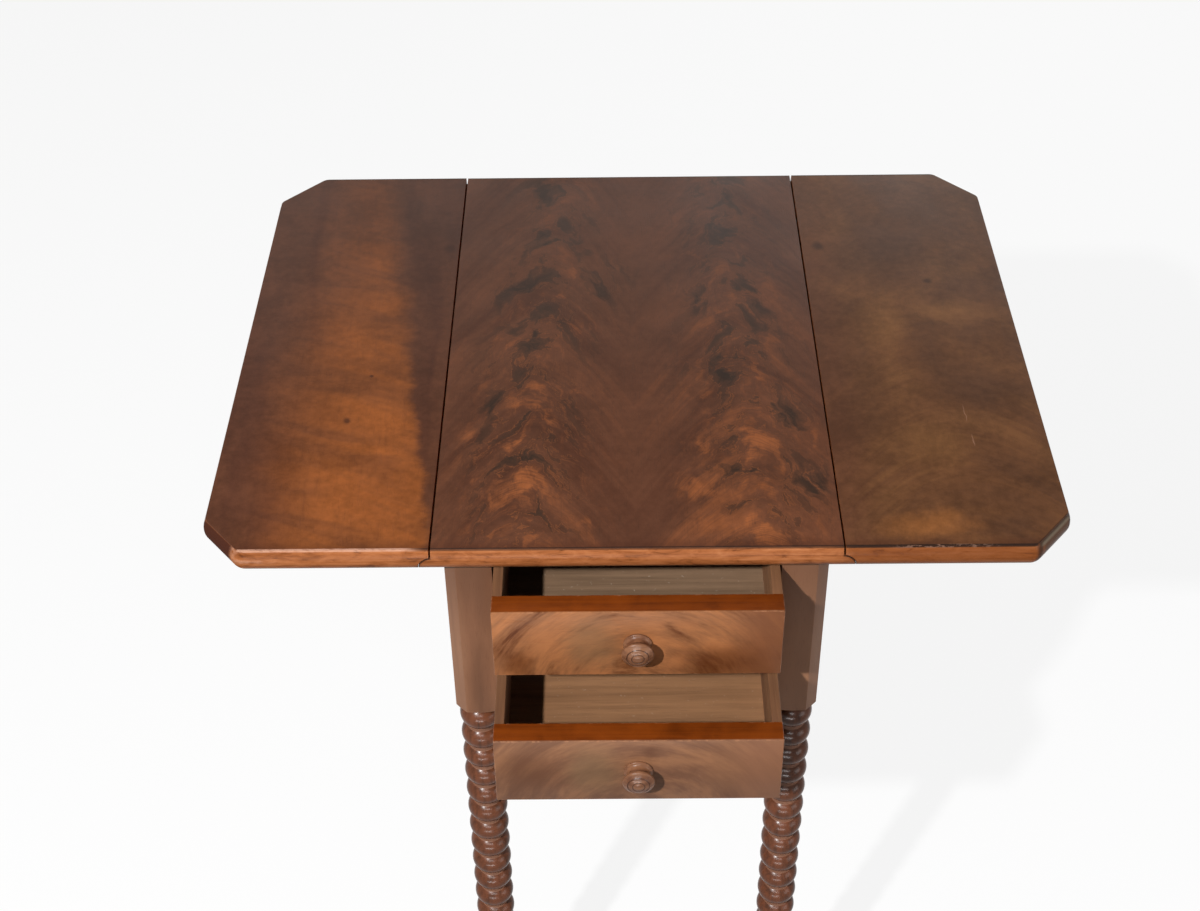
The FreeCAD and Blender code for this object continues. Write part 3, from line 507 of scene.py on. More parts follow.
def makeTopFinish():
    material, place = newMaterial("mahoganyCrotchTop")
    x, y = split(place)[:2]
    across = calc("ABSOLUTE", x)
    right = calc("GREATER_THAN", x, 0.0)
    forward = depthShare(y)
    coreLeft, coreRight = (fade(forward, 0.0, 1.0, *crotch[side]) for side in ("coreLeft", "coreRight"))
    wander = figured((right, y, 0.0), (5.0, 11.0, 0.0), 0.0, 3.0, 0.5)
    core = plus(between(coreLeft, coreRight, right), times(minus(wander, 0.5), crotch["coreSway"]))
    outside = larger(minus(across, core), 0.0)
    inside = larger(minus(core, across), 0.0)
    nearness = calc("DIVIDE", inside, core)
    seamward = times(nearness, crotch["seamReach"])
    spread = plus(outside, seamward)
    along = plus(y, times(calc("POWER", spread, crotch["rayCurve"]), crotch["rayFall"]))

    # soft rays lie along the arches and meet on the seam
    rays = (minus(outside, seamward), along, x)
    broad = figured(rays, (6.0, 16.0, 5.0), 0.0, 5.0, 0.55, 0.5)
    fine = figured(rays, (12.0, 90.0, 8.0), 3.0, 4.0, 0.6, 0.3)
    hair = figured(rays, (34.0, 520.0, 20.0), 7.0, 3.0, 0.6)
    ray = between(broad, fine, 0.20)
    colour = ramp(ray, (0.36, crotch["deep"]), (0.50, crotch["ground"]), (0.66, crotch["warm"]))

    # lit rays sweep from the plumes to the seam near the front
    sweep = times(fade(nearness, 0.02, 0.25), fade(nearness, 1.0, 0.60), fade(forward, 0.45, 0.85),
                  fade(ray, 0.46, 0.62), fade(hair, 0.30, 0.66, 0.5, 1.0))
    colour = coats(colour, (fade(across, 0.060, 0.0), 0.55, crotch["ground"]),
                   (sweep, plus(times(right, 0.30), 0.20), crotch["glow"]))

    # flames of the two plumes: dark clouds with lit tongues and lit outlines
    fromCore = calc("DIVIDE", plus(outside, inside), crotch["plumeWidth"])
    plume = calc("EXPONENT", times(calc("POWER", fromCore, 2.0), -1.0))
    pulled = torn(place, 24.0, crotch["flameReach"])
    pulledX, pulledY = split(pulled)[:2]
    pulledAlong = plus(pulledY, minus(along, y))
    flame = figured((pulledX, pulledAlong, 0.0), (44.0, 34.0, 1.0), 4.0, 7.0, 0.62, 0.6)
    lights = marks(pulled, crotch["flecks"], 1.0)
    darks = marks(pulled, crotch["clouds"], 1.0, crotch["cloudSpread"])
    sharper = plus(times(minus(flame, 0.5), crotch["contrast"]), 0.5)
    value = plus(sharper, times(lights, crotch["litBias"]), times(darks, -crotch["darkBias"]))
    strongest = times(larger(lights, darks), 0.85)
    envelope = larger(plume, strongest)
    shadow = times(fade(value, 0.54, 0.28), envelope)
    cores = times(fade(value, 0.36, 0.24), strongest)
    feather = fade(hair, 0.34, 0.62, 0.40, 1.0)
    frontward = fade(forward, 0.05, 0.85, 0.40, 0.95)
    tongue = times(fade(value, 0.50, 0.76), envelope)
    outline = times(fade(apart(value, 0.43), 0.026, 0.0), envelope, 0.50)
    lit = times(larger(tongue, outline), feather)
    colour = coats(colour, (shadow, 0.85, crotch["cloud"]), (cores, 0.75, crotch["cloudCore"]),
                   (lit, frontward, crotch["glow"]), (fade(hair, 0.50, 0.74), 0.16, crotch["deep"]))
    pores = use(grainGroup, Vector=turned(place, (0, 0, 90)), Seed=1.0)["Pores"]
    finishBoard(place, colour, pores, crotch["cloud"], 0.16, (9.0, 0.34, 0.44), times(fine, 0.2))
    return material


# Left leaf: a golden band that opens towards the front
goldLeaf = {
    "margin": shade(86, 52, 36), "deep": shade(72, 42, 30), "knot": shade(58, 33, 23),
    "gold": shade(124, 71, 38), "glow": shade(140, 79, 39),
    "inner": (0.078, 0.000), "innerSoft": (0.016, 0.006),  # from the hinge, at the back and at the front
    "outer": (0.105, 0.118), "outerSoft": 0.050,  # at the back and from the middle on
    "bandBack": 0.55, "sway": 0.045, "slant": 0.35,
    "knots": [(-0.241, -0.112, 0.0045, 0.0060), (-0.226, -0.051, 0.003, 0.003),
              (-0.170, 0.144, 0.008, 0.010)],
}


def makeLeftLeafFinish():
    material, place = newMaterial("leftLeafMahogany")
    x, y = split(place)[:2]
    forward = depthShare(y)
    sway = figured((x, y, 0.0), (11.0, 18.0, 1.0), 2.0, 6.0, 0.62)
    fromHinge = plus(minus(-board["hinge"], x), times(minus(sway, 0.5), goldLeaf["sway"]))
    outer = fade(forward, 0.0, 0.5, *goldLeaf["outer"])
    soft = fade(forward, 0.2, 0.7, *goldLeaf["innerSoft"])
    rise = fade(minus(fromHinge, between(*goldLeaf["inner"], forward)), times(soft, -1.0), soft)
    drop = fade(minus(fromHinge, outer), goldLeaf["outerSoft"], -goldLeaf["outerSoft"])
    band = times(rise, drop)
    grain = use(grainGroup, Vector=turned(torn(place, 8.0, 0.020), (0, 0, 87)), Seed=4.0)
    bars = figured((x, plus(y, times(x, goldLeaf["slant"])), 0.0), (9.0, 34.0, 1.0), 3.0, 5.0, 0.55, 0.8)
    ground = tinge(fade(grain["Tone"], 0.25, 0.60), goldLeaf["deep"], goldLeaf["margin"])
    gold = tinge(fade(bars, 0.35, 0.68), goldLeaf["gold"], goldLeaf["glow"])
    knots = marks(torn(place, 200.0, 0.003), goldLeaf["knots"], 0.8)
    colour = coats(ground, (band, fade(forward, -0.1, 0.75, goldLeaf["bandBack"], 1.0), gold),
                   (fade(bars, 0.50, 0.25), 0.30, goldLeaf["deep"]),
                   (fade(grain["Streak"], 0.50, 0.80), 0.22, goldLeaf["deep"]),
                   (knots, 0.75, goldLeaf["knot"]))
    finishBoard(place, colour, grain["Pores"], goldLeaf["deep"], 0.26, (8.0, 0.33, 0.43))
    return material


# Right leaf: brown, cloudy, with low nested arches
cloudLeaf = {
    "deep": shade(76, 50, 35), "ground": shade(94, 61, 39), "tan": shade(119, 80, 49),
    "light": shade(146, 92, 51), "red": shade(88, 54, 38),
    "archMiddle": 0.265, "archFall": 5.0, "archCurve": 1.8,
    "smudges": [(0.177, 0.144, 0.008, 0.010), (0.272, 0.085, 0.006, 0.006)],
    "lights": [(0.222, 0.020, 0.030, 0.070), (0.285, 0.035, 0.055, 0.030), (0.245, -0.150, 0.045, 0.040)],
    "frontLights": [(0.232, -0.250, 0.055, 0.028)],
    "darks": [(0.240, 0.150, 0.050, 0.060), (0.295, -0.070, 0.050, 0.040), (0.300, -0.245, 0.030, 0.022)],
    "scratches": [(0.277, -0.108, 0.0007, 0.014), (0.279, -0.144, 0.0007, 0.010)],
}


def makeRightLeafFinish():
    material, place = newMaterial("rightLeafMahogany")
    x, y = split(place)[:2]
    off = apart(x, cloudLeaf["archMiddle"])
    along = plus(y, times(calc("POWER", off, cloudLeaf["archCurve"]), cloudLeaf["archFall"]))
    arch = figured((x, along, 0.0), (5.0, 26.0, 1.0), 5.0, 5.0, 0.55, 0.5)
    fine = figured((x, along, 0.0), (18.0, 120.0, 1.0), 9.0, 4.0, 0.6, 0.2)
    mist = figured((x, y, 0.0), (11.0, 7.0, 1.0), 6.0, 6.0, 0.55, 0.6)
    figure = between(between(mist, arch, fade(y, 0.02, -0.20, 0.20, 0.80)), fine, 0.16)
    colour = ramp(figure, (0.32, cloudLeaf["deep"]), (0.50, cloudLeaf["ground"]), (0.70, cloudLeaf["tan"]))
    pulled = torn(place, 22.0, 0.050)
    nearHinge = fade(x, board["hinge"] + 0.045, board["hinge"] + 0.005)
    colour = coats(colour, (marks(pulled, cloudLeaf["lights"], 0.95), 0.90, cloudLeaf["tan"]),
                   (marks(pulled, cloudLeaf["frontLights"], 0.9), 0.80, cloudLeaf["light"]),
                   (marks(pulled, cloudLeaf["darks"], 0.95), 0.70, cloudLeaf["deep"]),
                   (nearHinge, 0.6, cloudLeaf["red"]),
                   (marks(torn(place, 120.0, 0.006), cloudLeaf["smudges"], 0.8), 0.7, board["dirt"]),
                   (marks(torn(place, 60.0, 0.006), cloudLeaf["scratches"], 0.5), 0.20, board["rubbed"]))
    pores = use(grainGroup, Vector=turned(torn(place, 8.0, 0.020), (0, 0, 93)), Seed=7.0)["Pores"]
    finishBoard(place, colour, pores, cloudLeaf["deep"], 0.26, (8.0, 0.35, 0.45))
    return material


# Legs: pale rubbed block above, dark polished ring turning below; lengths in metres
legTurning = {
    "blockBottom": 0.5235,
    "axisX": 0.13375, "axisY": 0.23875,
    "rings": 15, "pitch": 0.025, "radius": 0.0178, "neck": 0.0124, "neckHeight": 0.004, "topNeck": 0.007,
    "vaseRadius": 0.0155, "vaseNeck": 0.0110, "vaseNeckHeight": 0.009, "vaseShoulder": 0.024,
    "vaseSwell": 0.0009, "vaseLift": 0.002, "ankle": 0.0095, "ankleSwell": 0.0008,
    "collarRadius": 0.0130, "collarRound": 0.001, "collarHeight": 0.006,
    "footHeight": 0.048, "footRadius": 0.0160, "footWidest": 0.0264, "footNeck": 0.010, "padRadius": 0.011,
    "spinSteps": 64,
    "block": shade(128, 87, 62), "blockDeep": shade(104, 69, 48), "blockPale": shade(144, 104, 78),
    "wood": shade(104, 60, 39), "woodDeep": shade(70, 40, 25), "neckDustAndLight": shade(132, 94, 74),
    "paintedLightRight": (0.10, 0.12), "paintedShadeTop": (0.600, 0.700),
    "easeWidth": 0.0007, "easeShortest": 0.030,
}


def makeLegFinish():
    leg = legTurning
    material, place = newMaterial("legMahogany")
    x, y, z = split(place)
    grain = use(grainGroup, Vector=turned(place, (0, 90, 0)), Seed=11.0)
    block = ramp(grain["Tone"], (0.30, leg["blockDeep"]), (0.52, leg["block"]), (0.75, leg["blockPale"]))
    block = coats(block, (fade(grain["Streak"], 0.50, 0.78), 0.30, leg["blockDeep"]),
                  # painted light: the right legs paler, standing in for fill on their shaded fronts
                  (fade(x, *leg["paintedLightRight"]), 0.55, leg["blockPale"]),
                  # painted shade: the upper blocks darker where the top's overhang shades them
                  (fade(z, *leg["paintedShadeTop"]), 0.80, leg["blockDeep"]))
    radius = fromAxis(minus(calc("ABSOLUTE", x), leg["axisX"]), minus(calc("ABSOLUTE", y), leg["axisY"]))
    # pale necks between the rings: dust, and painted light where the beads above shade them
    inNeck = fade(radius, leg["neck"] + 0.0005, leg["neck"] + 0.0001, 0.0, 0.80)
    isBlock = fade(z, leg["blockBottom"] - 0.0002, leg["blockBottom"] + 0.0002)
    turning = tinge(fade(grain["Streak"], 0.35, 0.75), leg["wood"], leg["woodDeep"])
    colour = coats(turning, (inNeck, 1.0, leg["neckDustAndLight"]), (isBlock, 1.0, block),
                   (grain["Pores"], 0.2, leg["woodDeep"]))
    haze = use(patinaGroup, Vector=place, Scale=14.0)["Haze"]
    roughness = plus(fade(isBlock, 0.0, 1.0, 0.22, 0.42), times(haze, 0.06), times(inNeck, 0.3))
    finish(colour, roughness, times(grain["Pores"], isBlock, -0.5), 0.0001, 0.15)
    return material


# Drawer fronts: crotch veneer that arches round the knob, solid wood on the other sides
frontVeneer = {
    "upper": {"light": shade(160, 102, 62), "mid": shade(132, 85, 53), "dark": shade(82, 40, 15),
              "grey": shade(121, 89, 61), "plain": shade(99, 58, 36), "seed": 2.0},
    "lower": {"light": shade(138, 96, 68), "mid": shade(113, 77, 56), "dark": shade(96, 62, 43),
              "grey": shade(115, 89, 64), "plain": shade(132, 90, 66), "seed": 5.0},
    "rim": shade(108, 48, 8), "rimDark": shade(84, 35, 5), "rimGlow": shade(122, 56, 11),
    "rimPale": shade(176, 124, 90), "wearWidth": 0.0012,
    "archDrop": 0.062, "plainFrom": (0.062, 0.100),
    "greys": [(-0.036, 0.0, 0.032, 0.040)],
    "upperLights": [(0.036, 0.020, 0.016, 0.010), (0.030, -0.020, 0.012, 0.012),
                    (-0.074, 0.004, 0.022, 0.026), (0.012, 0.020, 0.014, 0.012)],
    "upperDarks": [(0.068, -0.020, 0.052, 0.028), (-0.094, -0.020, 0.020, 0.024)],
    "lowerLights": [(0.034, 0.010, 0.024, 0.010), (0.070, 0.000, 0.034, 0.034)],
    "lowerDarks": [(-0.086, 0.000, 0.040, 0.050), (0.010, 0.022, 0.010, 0.012)],
}


def makeFrontFinish(level):
    veneer = frontVeneer
    tones = veneer[level]
    material, place = newMaterial(level + "DrawerVeneer")
    low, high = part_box(level + "_drawer_front")
    middle = (low + high) / 2
    x, y, z = split(place)
    rise = minus(z, middle.z - veneer["archDrop"])
    arched = (fromAxis(x, rise), calc("ARCTAN2", x, rise), 0.0)
    arch = figured(arched, (62.0, 1.5, 1.0), tones["seed"], 5.0, 0.55, 0.5)
    fine = figured(arched, (420.0, 6.0, 1.0), tones["seed"], 4.0, 0.6, 0.3)
    figure = between(arch, fine, 0.26)
    face = ramp(figure, (0.30, tones["dark"]), (0.45, tones["mid"]), (0.61, tones["light"]))
    pulled = torn(point(x, minus(z, middle.z), 0.0), 50.0, 0.020)
    darks = times(marks(pulled, veneer[level + "Darks"], 0.9), fade(figure, 0.62, 0.40, 0.80, 1.0))
    face = coats(face, (marks(pulled, veneer["greys"], 0.8), 0.6, tones["grey"]),
                 (darks, 0.90, tones["dark"]),
                 (marks(pulled, veneer[level + "Lights"], 0.9), 0.55, tones["light"]),
                 (fade(x, *veneer["plainFrom"]), 0.75, tones["plain"]))
    grain = use(grainGroup, Vector=place, Seed=tones["seed"])
    polish = use(patinaGroup, Vector=place, Scale=30.0)
    blotch = between(grain["Streak"], polish["Cloud"], 0.60)
    solid = ramp(blotch, (0.36, veneer["rimDark"]), (0.50, veneer["rim"]), (0.64, veneer["rimGlow"]))
    half = tuple((high - low) / 2)
    worn = use(wearGroup, Vector=place, Centre=tuple(middle), Half=half, Width=veneer["wearWidth"])["Mask"]
    colour = coats(solid, (fade(y, low.y + 0.0016, low.y + 0.0008), 1.0, face),
                   (worn, fade(polish["Haze"], 0.45, 0.62, 0.05, 0.45), veneer["rimPale"]),
                   (grain["Pores"], 0.15, veneer["rimDark"]))
    finish(colour, polished(place, 16.0, 0.32, 0.42), times(grain["Pores"], -0.4), 0.0001, 0.08)
    return material


# Knobs: turned, dark in the grooves; lengths in metres from the drawer's face
turnedKnob = {
    "collar": 0.0110, "collarHeight": 0.0022, "collarSwell": 0.0005, "collarRound": 0.0006,
    "neck": 0.0088, "neckHeight": 0.0062, "neckFillet": 0.0006, "neckFilletHeight": 0.0008,
    "head": 0.0126, "rimHeight": 0.0122, "underIn": 0.0010, "underDrop": 0.0022,
    "overIn": 0.0014, "overRise": 0.0016,
    "faceHeight": 0.0156, "ring": 0.0086, "ringDepth": 0.00035, "ringWidth": 0.0006,
    "dome": 0.0070, "domeHeight": 0.0164,
    "button": 0.0048, "buttonDepth": 0.0003, "buttonEdge": 0.0005, "buttonFoot": 0.0170,
    "buttonRound": 0.0028, "buttonRoundHeight": 0.0177, "crown": 0.0180, "crownFlat": 0.0010,
    "tenon": 0.0050, "tenonDepth": 0.0190, "spinSteps": 64,
    "body": shade(128, 87, 61), "deep": shade(92, 57, 39), "dust": shade(62, 38, 28),
}


def makeKnobFinish(level):
    knob = turnedKnob
    material, place = newMaterial(level + "Knob")
    low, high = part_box(level + "_drawer_knob")
    x, y, z = split(place)
    radius = fromAxis(x, minus(z, (low.z + high.z) / 2))
    grain = use(grainGroup, Vector=place, Seed=15.0)
    colour = tinge(fade(grain["Streak"], 0.35, 0.70), knob["body"], knob["deep"])
    face = fade(y, low.y + 0.0065, low.y + 0.0050)
    for ring in (knob["ring"], knob["button"]):
        groove = times(fade(apart(radius, ring), knob["ringWidth"], 0.0002), face)
        colour = tinge(times(groove, 0.8), colour, knob["dust"])
    polish = use(patinaGroup, Vector=place, Scale=40.0)
    roughness = fade(polish["Cloud"], 0.3, 0.7, 0.24, 0.38)
    finish(colour, roughness, times(grain["Pores"], -0.3), 0.00006, 0.16)
    return material


# Plain woods: two tones, the turn of the grain about Z in degrees, and dust where it has settled
dustTone = shade(205, 192, 175)


def makePlainWood(name, light, dark, turn, seed, rough, dust=0.0):
    material, place = newMaterial(name)
    grain = use(grainGroup, Vector=turned(place, (0, 0, turn)), Seed=seed)
    polish = use(patinaGroup, Vector=place, Scale=11.0)
    tone = fade(between(grain["Tone"], grain["Streak"], 0.45), 0.34, 0.64)
    colour = coats(light, (tone, 1.0, dark), (grain["Pores"], 0.30, dark),
                   (fade(polish["Cloud"], 0.42, 0.70), 0.30, dark), (polish["Specks"], dust, dustTone))
    roughness = fade(polish["Haze"], 0.3, 0.7, rough - 0.05, rough + 0.07)
    height = plus(times(grain["Pores"], -0.5), times(grain["Streak"], 0.6))
    finish(colour, roughness, height, 0.00015, 0.25)
    return material


# Iron and steel: mottled, with rust in patches
def makeMetal(name, bright, dull, rust, rough):
    material, place = newMaterial(name)
    polish = use(patinaGroup, Vector=place, Scale=60.0)
    rusted = fade(polish["Haze"], 0.52, 0.64)
    colour = coats(bright, (fade(polish["Cloud"], 0.35, 0.65), 1.0, dull), (rusted, 0.6, rust))
    plugByName(material.node_tree.nodes["Principled BSDF"], Metallic=fade(rusted, 0.0, 1.0, 1.0, 0.2))
    finish(colour, fade(polish["Cloud"], 0.3, 0.7, rough, rough + 0.2), polish["Haze"], 0.0002, 0.5)
    return material


topFinish = makeTopFinish()
leftLeafFinish = makeLeftLeafFinish()
rightLeafFinish = makeRightLeafFinish()
legFinish = makeLegFinish()
frontFinishes = {level: makeFrontFinish(level) for level in ("upper", "lower")}
knobFinishes = {level: makeKnobFinish(level) for level in ("upper", "lower")}
caseFinish = makePlainWood("caseMahogany", shade(122, 80, 56), shade(84, 50, 36), 90, 21.0, 0.42)
railFinish = makePlainWood("railMahogany", shade(118, 74, 48), shade(80, 46, 32), 0, 23.0, 0.42)
sideFinish = makePlainWood("drawerSidePoplar", shade(132, 92, 62), shade(96, 64, 44), 90, 31.0, 0.55)
floorFinishes = {
    "upper": makePlainWood("upperDrawerPine", shade(135, 107, 83), shade(101, 79, 60), 0, 33.0, 0.62, 0.25),
    "lower": makePlainWood("lowerDrawerPine", shade(149, 108, 75), shade(116, 82, 56), 0, 37.0, 0.60, 0.15),
}
pineFinish = makePlainWood("carcasePine", shade(172, 132, 90), shade(126, 90, 58), 90, 41.0, 0.65, 0.1)
ironFinish = makeMetal("wroughtIron", shade(92, 88, 84), shade(52, 49, 47), shade(84, 50, 34), 0.45)
steelFinish = makeMetal("screwSteel", shade(150, 148, 144), shade(98, 96, 92), shade(96, 62, 42), 0.35)
print("finishes made")


# The record's slot tells which finish a piece takes; boards of one slot can differ in grain and tone
slotFinishes = {
    "mahogany_crotch_top": topFinish,
    "left_leaf_mahogany": leftLeafFinish,
    "right_leaf_mahogany": rightLeafFinish,
    "mahogany_leg": legFinish,
    "mahogany_case": caseFinish,
    "drawer_side_poplar": sideFinish,
    "pine_carcase": pineFinish,
    "wrought_iron": ironFinish,
    "screw_steel": steelFinish,
}
rails = ("top_front_rail", "drawer_divider", "bottom_front_rail", "back_panel")
nodeFinishes = {name: railFinish for name in rails}
for level in ("upper", "lower"):
    nodeFinishes[level + "_drawer_front"] = frontFinishes[level]
    nodeFinishes[level + "_drawer_knob"] = knobFinishes[level]
    nodeFinishes[level + "_drawer_bottom"] = floorFinishes[level]
    nodeFinishes[level + "_drawer_back"] = floorFinishes[level]
nodeSlots = {subpart["node"]: subpart["material_slot"] for subpart in frame["record"]["subparts"]}


def paint(piece, name):
    piece.data.materials.clear()
    piece.data.materials.append(nodeFinishes.get(name) or slotFinishes[nodeSlots[name]])


for name, piece in nodes.items():
    paint(piece, name)
print("pieces painted")


# Dressed pieces stand for their CAD nodes and ride on the same bodies; lengths in metres, angles in degrees
shaping = {
    "merge": 0.000004, "flat": 0.3, "sharp": 28, "smooth": 32, "knobSmooth": 40,
    "easeSegments": 3, "easeShortest": 0.015,
    "rimWidth": 0.0045, "rimReach": 0.025, "rimDrop": 0.0001, "flatFace": 0.95, "cornerSteps": 8,
    "slack": 0.0000001, "cutMerge": 0.00001, "cutLift": 0.00002,
}


def pick(piece):
    bpy.ops.object.select_all(action="DESELECT")
    piece.select_set(True)
    bpy.context.view_layer.objects.active = piece


def edit(select=None, kind=None):  # into edit mode, with all or nothing selected there
    bpy.ops.object.mode_set(mode="EDIT")
    if kind:
        bpy.ops.mesh.select_mode(type=kind)
    if select:
        bpy.ops.mesh.select_all(action=select)


def leaveEdit():
    bpy.ops.object.mode_set(mode="OBJECT")


def smooth(degrees=shaping["smooth"]):
    bpy.ops.object.shade_smooth_by_angle(angle=math.radians(degrees))


def meshCopy(name, mesh):  # a new piece with its own mesh
    piece = bpy.data.objects.new(name, mesh.copy())
    bpy.context.scene.collection.objects.link(piece)
    return piece


def copyOf(name):  # own mesh, its loose triangles merged and its flat faces joined
    piece = meshCopy(name + "Dressed", nodes[name].data)
    pick(piece)
    edit("SELECT")
    bpy.ops.mesh.customdata_custom_splitnormals_clear()
    bpy.ops.mesh.remove_doubles(threshold=shaping["merge"])
    bpy.ops.mesh.dissolve_limited(angle_limit=math.radians(shaping["flat"]))
    bpy.ops.mesh.select_all(action="DESELECT")
    leaveEdit()
    return piece


def ease(piece, width, shortest=shaping["easeShortest"], rim=math.inf):  # long arrises, and all above the rim
    mesh = piece.data
    edit("DESELECT", "EDGE")
    bpy.ops.mesh.edges_select_sharp(sharpness=math.radians(shaping["sharp"]))
    leaveEdit()
    for edge in mesh.edges:
        a, b = (mesh.vertices[index].co for index in edge.vertices)
        edge.select = edge.select and ((a - b).length > shortest or min(a.z, b.z) > rim)
    for part in (*mesh.vertices, *mesh.polygons):
        part.select = False
    edit()
    bpy.ops.mesh.bevel(offset=width, segments=shaping["easeSegments"], affect="EDGES", clamp_overlap=True)
    bpy.ops.mesh.select_all(action="DESELECT")
    leaveEdit()
    smooth()


def pickRim(piece, apex):  # the moulding's faces round one corner of a leaf
    mesh = piece.data
    edit("DESELECT", "FACE")
    leaveEdit()
    for face in mesh.polygons:
        near = False
        inRim = abs(face.normal.z) < shaping["flatFace"]
        for index in face.vertices:
            place = mesh.vertices[index].co
            fromSide = board["edge"] - abs(place.x)
            fromFront = board["halfDepth"] - abs(place.y)
            fromClip = clipReach(fromSide, fromFront, board["clipBack" if place.y > 0 else "clipFront"])
            inRim = inRim and min(fromSide, fromFront, fromClip) < shaping["rimWidth"]
            near = near or (place.xy - apex).length < shaping["rimReach"]
        face.select = inRim and near
    edit()


def roundCorner(piece, apex, normalA, normalB, radius):  # cut along rays, then drawn in to an arc
    centre = apex - (normalA + normalB) * (radius / (1 + normalA.dot(normalB)))
    steps = shaping["cornerSteps"]
    for index in range(steps + 1):
        ray = normalA.lerp(normalB, index / steps).normalized()
        pickRim(piece, apex)
        across = (-ray.y, ray.x, 0)
        bpy.ops.mesh.bisect(plane_co=(*centre, 0), plane_no=across, threshold=shaping["cutMerge"])
        leaveEdit()
    side = normalA.cross(normalB)
    for corner in piece.data.vertices:
        away = corner.co.xy - centre
        inset = min((apex - corner.co.xy).dot(normalA), (apex - corner.co.xy).dot(normalB))
        inWedge = min(normalA.cross(away) * side, away.cross(normalB) * side) > -shaping["slack"]
        if inWedge and inset < radius / 2 and away.dot(normalA) > 0:
            corner.co.xy = centre + away.normalized() * (radius - inset)


def roundCorners(piece, hand):  # worn corners of a leaf; hand is -1 for the left one, 1 for the right one
    radius = board["cornerRadius"]
    for (width, depth), end in ((board["clipFront"], -1), (board["clipBack"], 1)):
        slant = Vector((hand * depth, end * width)).normalized()
        atFront = Vector((hand * (board["edge"] - width), end * board["halfDepth"]))
        atSide = Vector((hand * board["edge"], end * (board["halfDepth"] - depth)))
        roundCorner(piece, atFront, Vector((0, end)), slant, radius)
        roundCorner(piece, atSide, Vector((hand, 0)), slant, radius)


def stand(piece, name):
    paint(piece, name)
    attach(piece, nodes[name]["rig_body"])
    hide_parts(name)


def arcThrough(start, middle, end, count):  # points on the circle through three places, without the start
    (ax, ay), (bx, by), (cx, cy) = start, middle, end
    twice = 2 * (ax * (by - cy) + bx * (cy - ay) + cx * (ay - by))
    a, b, c = ax * ax + ay * ay, bx * bx + by * by, cx * cx + cy * cy
    x = (a * (by - cy) + b * (cy - ay) + c * (ay - by)) / twice
    y = (a * (cx - bx) + b * (ax - cx) + c * (bx - ax)) / twice
    radius = math.hypot(ax - x, ay - y)
    first = math.atan2(ay - y, ax - x)
    sweep = (math.atan2(cy - y, cx - x) - first) % math.tau
    if (math.atan2(by - y, bx - x) - first) % math.tau > sweep:
        sweep -= math.tau
    angles = [first + sweep * (index + 1) / count for index in range(count)]
    return [(x + radius * math.cos(angle), y + radius * math.sin(angle)) for angle in angles]


def spinPiece(name, profile, centre, axis, steps):  # profile holds (radius, height along the axis)
    places = [centre + Vector((radius, 0, 0)) + axis * height for radius, height in profile]
    bpy.ops.object.select_all(action="DESELECT")
    bpy.ops.mesh.primitive_plane_add(size=0.001)
    piece = bpy.context.object
    piece.name = name
    edit("SELECT", "VERT")
    bpy.ops.mesh.merge(type="CENTER")
    bpy.ops.transform.translate(value=places[0])
    for before, after in zip(places, places[1:]):
        bpy.ops.mesh.extrude_vertices_move(TRANSFORM_OT_translate={"value": after - before})
    bpy.ops.mesh.select_all(action="SELECT")
    bpy.ops.mesh.spin(steps=steps, angle=math.tau, center=centre, axis=axis)
    bpy.ops.mesh.select_all(action="SELECT")
    bpy.ops.mesh.remove_doubles(threshold=shaping["merge"])
    bpy.ops.mesh.normals_make_consistent(inside=False)
    leaveEdit()
    return piece


def traced(profile, *runs):  # a run is the next point, or an arc's middle, end and number of points
    for run in runs:
        profile += arcThrough(profile[-1], *run) if len(run) == 3 else [run]
    return profile


def turningProfile():  # from the block down to the floor
    leg = legTurning
    ringsTop = leg["blockBottom"] - leg["topNeck"]
    profile = [(0.0, leg["blockBottom"]), (leg["neck"], leg["blockBottom"])]
    for ring in range(leg["rings"]):
        top = ringsTop - ring * leg["pitch"]
        bottom = top - leg["pitch"] + leg["neckHeight"]
        traced(profile, (leg["neck"], top), ((leg["radius"], (top + bottom) / 2), (leg["neck"], bottom), 14))
    vase = ringsTop - leg["rings"] * leg["pitch"] - leg["vaseNeckHeight"]
    shoulder = vase - leg["vaseShoulder"]
    foot = leg["footHeight"]
    collar = foot + leg["collarHeight"]
    collarIn = leg["collarRadius"] - leg["collarRound"]
    swell = ((leg["vaseNeck"] + leg["vaseRadius"]) / 2 + leg["vaseSwell"],
             (vase + shoulder) / 2 + leg["vaseLift"])
    taper = ((leg["vaseRadius"] + leg["ankle"]) / 2 + leg["ankleSwell"], (shoulder + collar) / 2)
    return traced(
        profile,
        (leg["vaseNeck"], vase),
        (swell, (leg["vaseRadius"], shoulder), 8),
        (taper, (leg["ankle"], collar), 8),
        (collarIn, collar),
        ((leg["collarRadius"], collar - leg["collarHeight"] / 2), (collarIn, foot), 6),
        (leg["footNeck"], foot),
        ((leg["footRadius"], leg["footWidest"]), (leg["padRadius"], 0.0), 12),
        (0.0, 0.0),
    )


